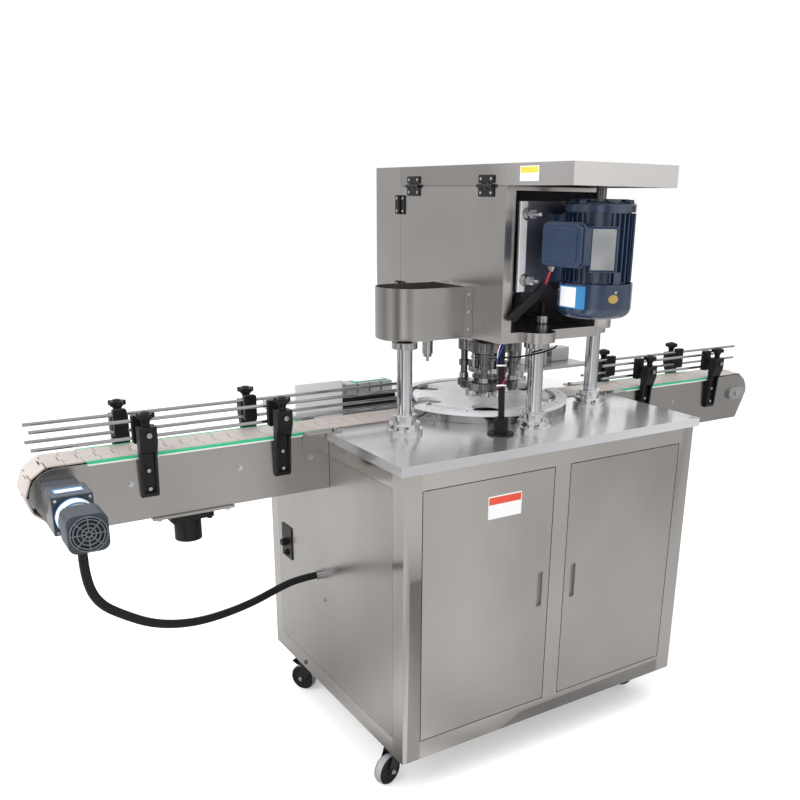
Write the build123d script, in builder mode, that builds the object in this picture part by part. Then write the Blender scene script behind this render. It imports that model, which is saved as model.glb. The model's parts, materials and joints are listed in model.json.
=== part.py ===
from build123d import *
from math import atan2, cos, degrees, hypot, pi, radians, sin, sqrt, tan
import os

# Can sealing machine. Millimetres, +Z up. The origin is on the floor below the
# middle of the table. +X follows the conveyor, -Y is the side with the doors.
os.makedirs("parts", exist_ok=True)

# Table and cabinet
table_w = 920.0
table_d = 760.0
table_z = 846.0
table_lip = 23.0
table_sheet = 2.0
caster_h = 100.0
overhang = 10.0
post_w = 48.0
tube_wall = 2.0
low_rail_h = 48.0
top_rail_h = 62.5
mullion_w = 48.0
mullion_d = 30.0
panel_t = 1.5
panel_gap = 0.8
panel_fold = 14.0
door_gap = 2.0
door_depth = 18.0
door_pin_r = 2.0
door_pin_len = 9.0
door_pin_in = 3.0
running = 0.05
free_gap = 0.4

cab_w = table_w - 2 * overhang
cab_d = table_d - 2 * overhang
cab_bottom = caster_h
cab_top = table_z - table_sheet
panel_low = cab_bottom + low_rail_h
panel_high = cab_top - top_rail_h

# Conveyor
chain_w = 101.6
chain_t = 4.0
chain_rise = 2.0
conv_y = 45.0
conv_body_w = 116.0
conv_plate_t = 3.0
conv_plate_h = 145.0
conv_plate_drop = 5.0
nose_r = 64.0
drive_x = -1076.0
tail_x = 1058.0
nose_cut_x = 40.0
shaft_r = 10.0
sprocket_gap = 0.8
strip_w = 7.6
strip_h = 9.0
strip_left = (-1015.0, -468.0)
strip_right = (464.0, 939.0)
spacer_r = 9.0
slot_gap = 1.6
leg_x = -795.0
leg_plate_l = 190.0
leg_plate_t = 6.0
leg_flange = 102.0
leg_flange_t = 18.0
leg_tube_r = 31.5
leg_bore_r = 25.5
leg_tube_h = 60.0

chain_z = table_z + chain_rise
plate_top = chain_z - conv_plate_drop
plate_bottom = plate_top - conv_plate_h
near_face = conv_y - conv_body_w / 2
far_face = conv_y + conv_body_w / 2
axle_z = chain_z - nose_r
inner_half = conv_body_w / 2 - conv_plate_t

# Guide rails along the conveyor
rod_r = 4.0
rail_half = 37.0
rod_low = 33.0
rod_high = 71.5
rail_shaft_r = 6.0
rail_shaft_rise = 49.0
rail_shaft_len = 62.0
head_block = (30.0, 14.0, 62.0)
arm_w = 38.0
arm_foot_t = 12.0
arm_block_t = 28.0
arm_low_drop = 97.0
arm_block_h = 34.0
arm_reach = 17.0
knob_r = 21.0
knob_h = 15.0
knob_neck_r = 9.0
knob_neck_h = 12.0
knob_stud_r = 4.0
arm_x_left_near = (-891.0, -576.0)
arm_x_left_far = (-912.0, -606.0)
arm_x_right_near = (625.0, 930.0)
arm_x_right_far = (578.0, 882.0)
rods_left = (-1118.0, -184.0)
rods_right_near = (468.0, 966.0)
rods_right_far = (452.0, 1150.0)

# Gear motor at the left end
gear_size = 80.0
adapter_len = 60.0
adapter_size = 70.0
gearbox_len = 77.0
gmotor_len = 121.0
gmotor_cap = 8.0

# Head on its columns
column_r = 19.0
column_top = 217.0
flange_r = 31.0
flange_t = 14.0
foot_r = 45.0
foot_t = 24.0
neck_r = 28.5
neck_h = 20.0
col_a = (-297.0, -118.0)
col_b = (-5.0, -252.0)
col_c = (306.0, -116.0)
col_d = (300.0, 215.0)
base_t = 25.0
lobe_r = 44.0
box_x0 = -113.0
box_x1 = 190.0
box_y0 = -250.0
box_y1 = 341.0
seam_y = 211.0
shell_t = 2.0
shell_h = 353.0
lid_h = 48.0
hood_y0 = -472.0
lid_gap = 1.0
window_left = 28.0
window_right = 9.0
window_top = 9.0

base_z0 = table_z + column_top
base_z1 = base_z0 + base_t
shell_z1 = base_z0 + shell_h
lid_z0 = shell_z1 + lid_gap
lid_z1 = lid_z0 + lid_h - lid_gap

# Seaming head below the base
head_x = -43.0
head_y = -109.0
spindle_r = 25.0
housing_r = 46.0
housing_flange_r = 62.0
housing_drop = 8.0
housing_top = 337.0
carrier_r = 58.0
carrier_t = 27.0
carrier_z = 1024.0
body_r = 35.0
pin_ring_r = 62.0
pin_r = 9.0
pin_z = 926.0
chuck_r = 33.0
chuck_z = 909.0
roller_r = 14.0
roller_ring_r = 50.0
roller_turn = 42.0
arm_z = 933.0
arm_t = 17.0
pulley_r = 60.0
pulley_t = 28.0
belt_w = 22.0
belt_t = 6.0

# Main motor
motor_x = 78.0
motor_y = -352.0
motor_h = 90.0
fan_cover_r = 86.0
fan_cover_z0 = 1130.0
fan_cover_z1 = 1209.0
motor_body_z1 = 1392.0
motor_r = 72.0
fin_r = 81.0
motor_pulley_r = 38.0
motor_shaft_r = 12.0
plate_x0 = -79.0
plate_x1 = 174.0
mount_z0 = 1183.0
mount_z1 = 1385.0
mount_fold = 19.0

# Star wheel and can guide
guide_x = 41.0
guide_y = 34.0
guide_r = 236.0
guide_wall = 3.0
guide_h = 30.0
guide_top_t = 9.0
star_x = guide_x
star_y = guide_y
star_count = 6
can_r = 37.5
star_gap = 3.0
star_t = 10.0
star_rim = 22.0
star_shaft_r = 12.0
lifter_r = 33.0
lifter_gap = 1.0

# Conduit between the table and the head
conduit_x = -106.8
conduit_y = -255.0
conduit_r = 8.5
conduit_top = (-93.0, -229.0)

star_pitch_r = hypot(star_x - head_x, star_y - head_y)
star_turn = degrees(atan2(head_y - star_y, head_x - star_x))

# Casters
wheel_r = 37.5
wheel_w = 26.0
caster_trail = 36.0
caster_in_x = 40.0
caster_in_near = 95.0
caster_in_far = 170.0
caster_turns = (199.0, 125.0, 122.0, 200.0)


def save(part, name):
    part.label = name
    export_step(part, "parts/" + name + ".step")


def tube_z(x0, x1, y0, y1, z0, z1, wall):
    """Upright square tube, open at both ends."""
    with BuildPart() as p:
        with BuildSketch(Plane.XY.offset(z0)):
            with Locations(((x0 + x1) / 2, (y0 + y1) / 2)):
                Rectangle(x1 - x0, y1 - y0)
                Rectangle(x1 - x0 - 2 * wall, y1 - y0 - 2 * wall, mode=Mode.SUBTRACT)
        extrude(amount=z1 - z0)
    return p.part


def tube_x(x0, x1, y0, y1, z0, z1, wall):
    """Square tube lying along X, open at both ends."""
    with BuildPart() as p:
        with BuildSketch(Plane.YZ.offset(x0)):
            with Locations(((y0 + y1) / 2, (z0 + z1) / 2)):
                Rectangle(y1 - y0, z1 - z0)
                Rectangle(y1 - y0 - 2 * wall, z1 - z0 - 2 * wall, mode=Mode.SUBTRACT)
        extrude(amount=x1 - x0)
    return p.part


def tube_y(x0, x1, y0, y1, z0, z1, wall):
    """Square tube lying along Y, open at both ends."""
    with BuildPart() as p:
        with BuildSketch(Plane(origin=(0, y0, 0), x_dir=(-1, 0, 0), z_dir=(0, 1, 0))):
            with Locations((-(x0 + x1) / 2, (z0 + z1) / 2)):
                Rectangle(x1 - x0, z1 - z0)
                Rectangle(x1 - x0 - 2 * wall, z1 - z0 - 2 * wall, mode=Mode.SUBTRACT)
        extrude(amount=y1 - y0)
    return p.part


def plane_y(y):
    """Sketch plane facing +Y: its first axis is -X, its second is Z."""
    return Plane(origin=(0, y, 0), x_dir=(-1, 0, 0), z_dir=(0, 1, 0))


hx = cab_w / 2
hy = cab_d / 2
door_axis_y = -hy + door_pin_in
left_door_x0 = -hx + post_w + door_gap
left_door_x1 = -mullion_w / 2 - door_gap
door_z0 = panel_low + door_gap
door_z1 = panel_high - door_gap

# Cabinet frame: four posts, lower rails, upper rails open where the conveyor
# runs through, and the mullion between the doors. The tubes meet face to face.
frame_tubes = []
for sx in (-1, 1):
    for sy in (-1, 1):
        x0, x1 = sorted((sx * hx, sx * (hx - post_w)))
        y0, y1 = sorted((sy * hy, sy * (hy - post_w)))
        frame_tubes.append(tube_z(x0, x1, y0, y1, cab_bottom, cab_top, tube_wall))
for sy in (-1, 1):
    y0, y1 = sorted((sy * hy, sy * (hy - post_w)))
    frame_tubes.append(tube_x(-hx + post_w, hx - post_w, y0, y1, cab_bottom, panel_low, tube_wall))
    frame_tubes.append(tube_x(-hx + post_w, hx - post_w, y0, y1, panel_high, cab_top, tube_wall))
for sx in (-1, 1):
    x0, x1 = sorted((sx * hx, sx * (hx - post_w)))
    frame_tubes.append(tube_y(x0, x1, -hy + post_w, hy - post_w, cab_bottom, panel_low, tube_wall))
    near_end = near_face - slot_gap
    far_end = far_face + slot_gap
    frame_tubes.append(tube_y(x0, x1, -hy + post_w, near_end, panel_high, cab_top, tube_wall))
    frame_tubes.append(tube_y(x0, x1, far_end, hy - post_w, panel_high, cab_top, tube_wall))
    # Cross tube that carries the conveyor, set back behind the side panel
    xc, xd = sorted((sx * (hx - 16.0), sx * (hx - 46.0)))
    frame_tubes.append(
        tube_y(xc, xd, -hy + post_w, hy - post_w, plate_bottom - 30.0, plate_bottom, tube_wall)
    )
frame_tubes.append(
    tube_z(-mullion_w / 2, mullion_w / 2, -hy, -hy + mullion_d, panel_low, panel_high, tube_wall)
)
# The door pins turn in holes through the rails' faces.
with BuildPart() as pin_holes:
    for sx in (-1, 1):
        px = sx * (-left_door_x0 - door_pin_in)
        with BuildSketch(Plane.XY.offset(panel_low - door_pin_len)):
            with Locations((px, door_axis_y)):
                Circle(door_pin_r + running)
        extrude(amount=door_pin_len + 0.5)
        with BuildSketch(Plane.XY.offset(panel_high - 0.5)):
            with Locations((px, door_axis_y)):
                Circle(door_pin_r + running)
        extrude(amount=door_pin_len + 0.5)
frame_tubes = [t - pin_holes.part if t.bounding_box().min.Y < -hy + 1 else t for t in frame_tubes]


def side_panel(sx, with_fittings):
    """Side panel: a shallow folded tray with the conveyor's notch at the top."""
    out = sx * hx
    y0 = -hy + post_w + panel_gap
    y1 = hy - post_w - panel_gap
    z0 = panel_low + panel_gap
    z1 = panel_high - panel_gap
    xa, xb = sorted((out, out - sx * panel_t))
    xc, xd = sorted((out - sx * panel_t, out - sx * panel_fold))
    with BuildPart() as p:
        with BuildSketch(Plane.YZ.offset(xa)):
            with Locations(((y0 + y1) / 2, (z0 + z1) / 2)):
                Rectangle(y1 - y0, z1 - z0)
        extrude(amount=xb - xa)
        with BuildSketch(Plane.YZ.offset(xc)):
            with Locations(((y0 + y1) / 2, (z0 + z1) / 2)):
                Rectangle(y1 - y0, z1 - z0)
                Rectangle(y1 - y0 - 2 * panel_t, z1 - z0 - 2 * panel_t, mode=Mode.SUBTRACT)
        extrude(amount=xd - xc)
        notch_z = plate_bottom - slot_gap
        with BuildSketch(Plane.YZ.offset(min(xa, xc) - 1)):
            with Locations((conv_y, (notch_z + z1 + 5) / 2)):
                Rectangle(conv_body_w + 2 * slot_gap, z1 + 5 - notch_z)
        extrude(amount=panel_fold + 2, mode=Mode.SUBTRACT)
        if with_fittings:
            with BuildSketch(Plane.YZ.offset(xa - 1)):
                with Locations((gland_y, gland_z)):
                    Circle(gland_hole_r)
                with Locations((ctrl_y, ctrl_z)):
                    Rectangle(ctrl_w - 16, ctrl_h - 24)
            extrude(amount=panel_t + 2, mode=Mode.SUBTRACT)
    return p.part


# Fittings on the left panel
gland_y = 32.0
gland_z = 447.6
gland_hole_r = 10.0
ctrl_y = 264.0
ctrl_z = 459.5
ctrl_w = 64.0
ctrl_h = 96.0

left_panel = side_panel(-1, True)
right_panel = side_panel(1, False)
with BuildPart() as back_panel:
    bw = cab_w - 2 * post_w - 2 * panel_gap
    bh = panel_high - panel_low - 2 * panel_gap
    with BuildSketch(plane_y(hy - panel_fold)):
        with Locations((0, (panel_low + panel_high) / 2)):
            Rectangle(bw, bh)
            Rectangle(bw - 2 * panel_t, bh - 2 * panel_t, mode=Mode.SUBTRACT)
    extrude(amount=panel_fold)
    with BuildSketch(plane_y(hy - panel_t)):
        with Locations((0, (panel_low + panel_high) / 2)):
            Rectangle(bw, bh)
    extrude(amount=panel_t)
with BuildPart() as floor_panel:
    with BuildSketch(Plane.XY.offset(panel_low)):
        with Locations((0, 6)):
            Rectangle(cab_w - 2 * post_w - 12, cab_d - 52)
    extrude(amount=panel_t)
cabinet_panels = Compound(children=[left_panel, right_panel, back_panel.part, floor_panel.part])
save(cabinet_panels, "cabinet_panels")


def half_table(y0, y1, holes):
    """One half of the table: a sheet with folded lips and holes through it."""
    with BuildPart() as p:
        with BuildSketch(Plane.XY.offset(table_z - table_lip)):
            with Locations((0, (y0 + y1) / 2)):
                Rectangle(table_w, y1 - y0)
        extrude(amount=table_lip)
        ya = y0 + table_sheet
        yb = y1 - table_sheet
        with BuildSketch(Plane.XY.offset(table_z - table_lip)):
            with Locations((0, (ya + yb) / 2)):
                Rectangle(table_w - 2 * table_sheet, yb - ya)
        extrude(amount=table_lip - table_sheet, mode=Mode.SUBTRACT)
        # The slot side has no lip, so that the frame's rails pass under it.
        slot_y0 = y1 - 4 if y0 < 0 else y0 - 1
        with BuildSketch(Plane.XY.offset(table_z - table_lip - 1)):
            with Locations((0, slot_y0 + 2.5)):
                Rectangle(table_w + 2, 5.0)
        extrude(amount=table_lip - table_sheet + 1, mode=Mode.SUBTRACT)
        for hx0, hy0, hr in holes:
            with BuildSketch(Plane.XY.offset(table_z - table_sheet - 1)):
                with Locations((hx0, hy0)):
                    Circle(hr)
            extrude(amount=table_sheet + 2, mode=Mode.SUBTRACT)
    return p.part


near_table = half_table(
    -table_d / 2,
    near_face - slot_gap,
    [
        (conduit_x, conduit_y, 12.0),
        (head_x, head_y, lifter_r + lifter_gap),
    ],
)
far_table = half_table(far_face + slot_gap, table_d / 2, [])
save(Compound(children=[near_table, far_table]), "table_top")


def door(side):
    """Hinged door with folded edges, two pivot pins and a recess for its pull."""
    x0, x1 = (left_door_x0, left_door_x1) if side < 0 else (-left_door_x1, -left_door_x0)
    pin_x = side * (-left_door_x0 - door_pin_in)
    pull_x = side * door_pull_x
    with BuildPart() as p:
        with BuildSketch(plane_y(-hy)):
            with Locations((-(x0 + x1) / 2, (door_z0 + door_z1) / 2)):
                Rectangle(x1 - x0, door_z1 - door_z0)
        extrude(amount=panel_t)
        with BuildSketch(plane_y(-hy + panel_t)):
            with Locations((-(x0 + x1) / 2, (door_z0 + door_z1) / 2)):
                Rectangle(x1 - x0, door_z1 - door_z0)
                Rectangle(x1 - x0 - 2 * panel_t, door_z1 - door_z0 - 2 * panel_t, mode=Mode.SUBTRACT)
        extrude(amount=door_depth - panel_t)
        with BuildSketch(plane_y(-hy - 1)):
            with Locations((-pull_x, door_pull_z)):
                RectangleRounded(pull_w, pull_h, 4.0)
        extrude(amount=panel_t + 2, mode=Mode.SUBTRACT)
        for z, amount in ((door_z1 - 1, door_pin_len), (door_z0 + 1, -door_pin_len)):
            with BuildSketch(Plane.XY.offset(z)):
                with Locations((pin_x, door_axis_y)):
                    Circle(door_pin_r)
            extrude(amount=amount)
    # The pull is a pressed cup that fills the hole in the door's sheet.
    with BuildPart() as cup:
        with BuildSketch(plane_y(-hy)):
            with Locations((-pull_x, door_pull_z)):
                RectangleRounded(pull_w - 0.4, pull_h - 0.4, 3.8)
        extrude(amount=pull_depth)
        with BuildSketch(plane_y(-hy - 1)):
            with Locations((-pull_x, door_pull_z)):
                RectangleRounded(pull_w - 4.4, pull_h - 4.4, 2.5)
        extrude(amount=pull_depth - 0.5, mode=Mode.SUBTRACT)
    return Compound(children=[p.part, cup.part])


door_pull_x = 54.0
door_pull_z = 466.0
pull_w = 19.0
pull_h = 96.0
pull_depth = 12.0
save(door(-1), "left_door")
save(door(1), "right_door")

# Control plate with its connector, and the cable gland, on the left panel
ctrl_t = 3.0
speed_knob_r = 11.0
speed_knob_h = 15.0
speed_z = 458.0
speed_y = 268.0
with BuildPart() as control_plate:
    with BuildSketch(Plane.YZ.offset(-hx - ctrl_t)):
        with Locations((ctrl_y, ctrl_z)):
            RectangleRounded(ctrl_w, ctrl_h, 3.0)
    extrude(amount=ctrl_t)
    with BuildSketch(Plane.YZ.offset(-hx)):
        with Locations((ctrl_y, ctrl_z)):
            Rectangle(ctrl_w - 16.5, ctrl_h - 24.5)
    extrude(amount=34)
    with BuildSketch(Plane.YZ.offset(-hx - ctrl_t - 5)):
        with Locations((ctrl_y, ctrl_z - 33)):
            Circle(9.0)
            Circle(6.5, mode=Mode.SUBTRACT)
    extrude(amount=6)
    with BuildSketch(Plane.YZ.offset(-hx - ctrl_t - 1)):
        with Locations((speed_y, speed_z)):
            Circle(3.0 + running)
    extrude(amount=14, mode=Mode.SUBTRACT)
with BuildPart() as speed_knob:
    with BuildSketch(Plane.YZ.offset(-hx - ctrl_t - free_gap)):
        with Locations((speed_y, speed_z)):
            Circle(speed_knob_r)
    extrude(amount=-speed_knob_h, taper=5)
    fillet(speed_knob.faces().sort_by(Axis.X)[0].edges(), 1.5)
    with BuildSketch(Plane.YZ.offset(-hx - ctrl_t - free_gap)):
        with Locations((speed_y, speed_z)):
            Circle(3.0)
    extrude(amount=10)
    with BuildSketch(Plane.YZ.offset(-hx - ctrl_t - speed_knob_h - 2)):
        with Locations((speed_y, speed_z + 6)):
            Rectangle(1.6, 9)
    extrude(amount=3, mode=Mode.SUBTRACT)
save(speed_knob.part, "speed_knob")

hose_r = 9.5
gland_len = 26.0
with BuildPart() as hose_gland:
    with BuildSketch(Plane.YZ.offset(-hx - 5)):
        with Locations((gland_y, gland_z)):
            RegularPolygon(15.0, 6)
    extrude(amount=5)
    with BuildSketch(Plane.YZ.offset(-hx - gland_len)):
        with Locations((gland_y, gland_z)):
            Circle(hose_r + 3.5)
    extrude(amount=gland_len - 5)
    with BuildSketch(Plane.YZ.offset(-hx)):
        with Locations((gland_y, gland_z)):
            Circle(gland_hole_r - 0.2)
    extrude(amount=16)
    with BuildSketch(Plane.YZ.offset(-hx - gland_len - 1)):
        with Locations((gland_y, gland_z)):
            Circle(hose_r - 2.0)
    extrude(amount=gland_len + 20, mode=Mode.SUBTRACT)
with BuildPart() as gland_nut:
    with BuildSketch(Plane.YZ.offset(-hx + panel_t)):
        with Locations((gland_y, gland_z)):
            RegularPolygon(14.0, 6)
            Circle(gland_hole_r, mode=Mode.SUBTRACT)
    extrude(amount=5)


# Casters
def caster_xy(sx, sy):
    return (sx * (hx - caster_in_x), sy * (hy - (caster_in_near if sy < 0 else caster_in_far)))


brake_pin = (28.0, 80.0)


def caster_fork(cx, cy, turn, braked):
    """Swivel fork: a dished head, two cheeks and the axle bolt, trailing its pivot."""
    pl = Plane(origin=(cx, cy, 0), x_dir=(cos(radians(turn)), sin(radians(turn)), 0), z_dir=(0, 0, 1))
    side = Plane(origin=pl.origin, x_dir=pl.x_dir, z_dir=pl.x_dir.cross(Vector(0, 0, 1)))
    with BuildPart() as p:
        with BuildSketch(pl.offset(caster_h - 16)):
            Circle(23.0)
            with Locations((8, 0)):
                Rectangle(36, wheel_w + 12)
        extrude(amount=10)
        for s in (-1, 1):
            start = side.offset(s * (wheel_w / 2 + 2.0) - (2.5 if s < 0 else 0))
            with BuildSketch(start):
                with BuildLine():
                    Polyline(
                        (-14, caster_h - 12),
                        (30, caster_h - 12),
                        (caster_trail + 12, wheel_r + 6),
                        (caster_trail + 8, wheel_r - 10),
                        (caster_trail - 8, wheel_r - 10),
                        (-14, caster_h - 12),
                    )
                make_face()
            extrude(amount=2.5)
        with BuildSketch(side.offset(-(wheel_w / 2 + 8))):
            with Locations((caster_trail, wheel_r)):
                Circle(5.0)
        extrude(amount=wheel_w + 16)
        with BuildSketch(pl.offset(caster_h - 10)):
            Circle(6.0)
        extrude(amount=8)
        if braked:
            with BuildSketch(side.offset(-25)):
                with Locations(brake_pin):
                    Circle(2.5 + running)
            extrude(amount=50, mode=Mode.SUBTRACT)
    return p.part


def caster_wheel(cx, cy, turn):
    """Wheel with a broad rounded tread, turning on the axle bolt."""
    pl = Plane(origin=(cx, cy, 0), x_dir=(cos(radians(turn)), sin(radians(turn)), 0), z_dir=(0, 0, 1))
    side = Plane(origin=pl.origin, x_dir=pl.x_dir, z_dir=pl.x_dir.cross(Vector(0, 0, 1)))
    with BuildPart() as p:
        with BuildSketch(side.offset(-wheel_w / 2)):
            with Locations((caster_trail, wheel_r)):
                Circle(wheel_r)
        extrude(amount=wheel_w)
        fillet(p.edges().filter_by(GeomType.CIRCLE), 4.0)
        with BuildSketch(side.offset(-wheel_w / 2 - 1.5)):
            with Locations((caster_trail, wheel_r)):
                Circle(11.0)
        extrude(amount=wheel_w + 3)
        with BuildSketch(side.offset(-wheel_w / 2 - 2)):
            with Locations((caster_trail, wheel_r)):
                Circle(5.0 + running)
        extrude(amount=wheel_w + 4, mode=Mode.SUBTRACT)
    return p.part


caster_names = ("near_left", "near_right", "far_left", "far_right")
caster_signs = ((-1, -1), (1, -1), (-1, 1), (1, 1))
for name, (sx, sy), turn in zip(caster_names, caster_signs, caster_turns):
    cx, cy = caster_xy(sx, sy)
    save(caster_fork(cx, cy, turn, name == "far_left"), "caster_fork_" + name)
    save(caster_wheel(cx, cy, turn), "caster_wheel_" + name)
caster_plates = []
for sx, sy in caster_signs:
    cx, cy = caster_xy(sx, sy)
    with BuildPart() as plate:
        with BuildSketch(Plane.XY.offset(caster_h - 4)):
            with Locations((cx, cy)):
                RectangleRounded(74, 62, 6)
                Circle(6.0 + running, mode=Mode.SUBTRACT)
                with GridLocations(56, 42, 2, 2):
                    Circle(4.2, mode=Mode.SUBTRACT)
        extrude(amount=4)
        with BuildSketch(Plane.XY.offset(caster_h - 6 + free_gap)):
            with Locations((cx, cy)):
                Circle(20.0)
                Circle(6.0 + running, mode=Mode.SUBTRACT)
        extrude(amount=2)
    caster_plates.append(plate.part)
save(Compound(children=frame_tubes + caster_plates), "cabinet_frame")

# Brake pedal on the far left caster: a rocker on a pin through the fork's cheeks
bt = radians(caster_turns[2])
bx, by = caster_xy(-1, 1)
brake_plane = Plane(origin=(bx, by, 0), x_dir=(cos(bt), sin(bt), 0), z_dir=(0, 0, 1))
brake_side = Plane(
    origin=brake_plane.origin, x_dir=brake_plane.x_dir, z_dir=brake_plane.x_dir.cross(Vector(0, 0, 1))
)
with BuildPart() as brake_pedal:
    with BuildSketch(brake_side.offset(-12)):
        with Locations(brake_pin):
            Circle(3.4)
        with BuildLine():
            Polyline(
                (brake_pin[0], brake_pin[1] + 2.5),
                (brake_pin[0] + 24, brake_pin[1] + 2),
                (brake_pin[0] + 38, brake_pin[1] + 9),
                (brake_pin[0] + 40, brake_pin[1] + 6),
                (brake_pin[0] + 26, brake_pin[1] - 2),
                (brake_pin[0], brake_pin[1] - 2.5),
                (brake_pin[0], brake_pin[1] + 2.5),
            )
        make_face()
    extrude(amount=24)
    with BuildSketch(brake_side.offset(-19)):
        with Locations(brake_pin):
            Circle(2.5)
    extrude(amount=38)
save(brake_pedal.part, "caster_brake_pedal")

# Conveyor side plates: rounded at both ends and cut back below
def conveyor_plate(y0):
    with BuildPart() as p:
        r = nose_r - conv_plate_drop
        with BuildSketch(Plane(origin=(0, y0, 0), x_dir=(1, 0, 0), z_dir=(0, -1, 0))):
            with BuildLine():
                a = Line((drive_x, plate_top), (tail_x, plate_top))
                RadiusArc((tail_x, plate_top), (tail_x + r, axle_z), r)
                Line((tail_x + r, axle_z), (tail_x + r - nose_cut_x, plate_bottom))
                Line((tail_x + r - nose_cut_x, plate_bottom), (drive_x - r + nose_cut_x, plate_bottom))
                Line((drive_x - r + nose_cut_x, plate_bottom), (drive_x - r, axle_z))
                RadiusArc((drive_x - r, axle_z), (drive_x, plate_top), r)
            make_face()
            with Locations((drive_x, axle_z), (tail_x, axle_z)):
                Circle(shaft_r + 9.0, mode=Mode.SUBTRACT)
        extrude(amount=-conv_plate_t)
    return p.part


def bearing(x, y0, out, hand):
    """Flanged bearing block on a side plate; the shaft turns in it."""
    with BuildPart() as p:
        pl = Plane(origin=(x, y0, axle_z), x_dir=(1, 0, 0), z_dir=(0, out, 0))
        with BuildSketch(pl):
            Circle(shaft_r + 8.8)
            Circle(shaft_r + running, mode=Mode.SUBTRACT)
        extrude(amount=-conv_plate_t)
        with BuildSketch(pl):
            SlotOverall(74, 40) if hand else RectangleRounded(58, 58, 8)
            Circle(shaft_r + running, mode=Mode.SUBTRACT)
        extrude(amount=11)
    return p.part


near_plate = conveyor_plate(near_face)
far_plate = conveyor_plate(far_face - conv_plate_t)
conv_parts = [near_plate, far_plate]
for x, hand in ((drive_x, False), (tail_x, True)):
    if hand:
        conv_parts.append(bearing(x, near_face, -1, hand))
    conv_parts.append(bearing(x, far_face, 1, hand))
for x in (-930.0, -680.0, -500.0, -180.0, 180.0, 500.0, 760.0, 955.0):
    with BuildPart() as spacer:
        with BuildSketch(plane_y(conv_y - inner_half)):
            with Locations((-x, axle_z)):
                Circle(spacer_r)
        extrude(amount=2 * inner_half)
    conv_parts.append(spacer.part)
with BuildPart() as leg_plate:
    with BuildSketch(Plane.XY.offset(plate_bottom - leg_plate_t)):
        with Locations((leg_x, conv_y)):
            Rectangle(leg_plate_l, conv_body_w + 14)
    extrude(amount=leg_plate_t)
conv_parts.append(leg_plate.part)
# Angle brackets between the conveyor and the table
angle_in = 462.0
angle_out = 520.0
angle_lap = 430.0
for sx in (-1, 1):
    for y_in, s in ((near_face, -1), (far_face, 1)):
        xa, xb = sorted((sx * angle_in, sx * angle_out))
        xc, xd = sorted((sx * angle_lap, sx * angle_out))
        with BuildPart() as angle:
            with BuildSketch(Plane.YZ.offset(xa)):
                with BuildLine():
                    Polyline(
                        (y_in, table_z - 39),
                        (y_in, plate_top - strip_h),
                        (y_in + s * 2.6, plate_top - strip_h),
                        (y_in + s * 2.6, table_z + 3),
                        (y_in + s * 34, table_z + 3),
                        (y_in + s * 34, table_z),
                        (y_in + s * 5.6, table_z),
                        (y_in + s * 5.6, plate_top - strip_h - 3),
                        (y_in + s * 3, plate_top - strip_h - 3),
                        (y_in + s * 3, table_z - 39),
                        (y_in, table_z - 39),
                    )
                make_face()
            extrude(amount=xb - xa)
            ya, yb = sorted((y_in + s * 5.6, y_in + s * 34))
            with BuildSketch(Plane.XY.offset(table_z)):
                with Locations(((xc + xd) / 2, (ya + yb) / 2)):
                    Rectangle(xd - xc, yb - ya)
            extrude(amount=3)
            with BuildSketch(Plane.XY.offset(table_z + 3)):
                with Locations((sx * (angle_lap + 14), (ya + yb) / 2)):
                    RegularPolygon(6.5, 6)
            extrude(amount=5)
        conv_parts.append(angle.part)

with BuildPart() as leg_socket:
    with BuildSketch(Plane.XY.offset(plate_bottom - leg_plate_t - leg_flange_t)):
        with Locations((leg_x, conv_y)):
            RectangleRounded(leg_flange, leg_flange, 10)
    extrude(amount=leg_flange_t)
    with BuildSketch(Plane.XY.offset(plate_bottom - leg_plate_t - leg_flange_t - leg_tube_h)):
        with Locations((leg_x, conv_y)):
            Circle(leg_tube_r)
    extrude(amount=leg_tube_h)
    with BuildSketch(Plane.XY.offset(plate_bottom - leg_plate_t - leg_flange_t - leg_tube_h - 1)):
        with Locations((leg_x, conv_y)):
            Circle(leg_bore_r)
    extrude(amount=leg_tube_h + leg_flange_t + 2, mode=Mode.SUBTRACT)
    with BuildSketch(Plane.XY.offset(plate_bottom - leg_plate_t - leg_flange_t - 5)):
        with Locations((leg_x, conv_y)):
            with GridLocations(leg_flange - 20, leg_flange - 20, 2, 2):
                RegularPolygon(6.5, 6)
    extrude(amount=5)
save(Compound(children=conv_parts + [leg_socket.part]), "conveyor_frame")

# Flat-top chain as one closed band round both ends
with BuildPart() as chain:
    with BuildSketch(Plane(origin=(0, conv_y + chain_w / 2, 0), x_dir=(1, 0, 0), z_dir=(0, -1, 0))):
        with Locations(((drive_x + tail_x) / 2, axle_z)):
            SlotCenterToCenter(tail_x - drive_x, 2 * nose_r)
            SlotCenterToCenter(tail_x - drive_x, 2 * (nose_r - chain_t), mode=Mode.SUBTRACT)
    extrude(amount=chain_w)
save(chain.part, "conveyor_chain")

strips = []
for x0, x1 in (strip_left, strip_right):
    for s in (-1, 1):
        face = near_face if s < 0 else far_face
        ya, yb = sorted((face + s * 2.0, face - s * (strip_w - 2.0)))
        pa, pb = sorted((face, face - s * conv_plate_t))
        with BuildPart() as strip:
            with BuildSketch(Plane.YZ.offset(x0)):
                with Locations(((ya + yb) / 2, chain_z - 0.5 - strip_h / 2)):
                    Rectangle(yb - ya, strip_h)
                with Locations(((pa + pb) / 2, plate_top - strip_h)):
                    Rectangle(pb - pa, 2 * strip_h, mode=Mode.SUBTRACT)
            extrude(amount=x1 - x0)
        strips.append(strip.part)
save(Compound(children=strips), "wear_strips")


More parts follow.
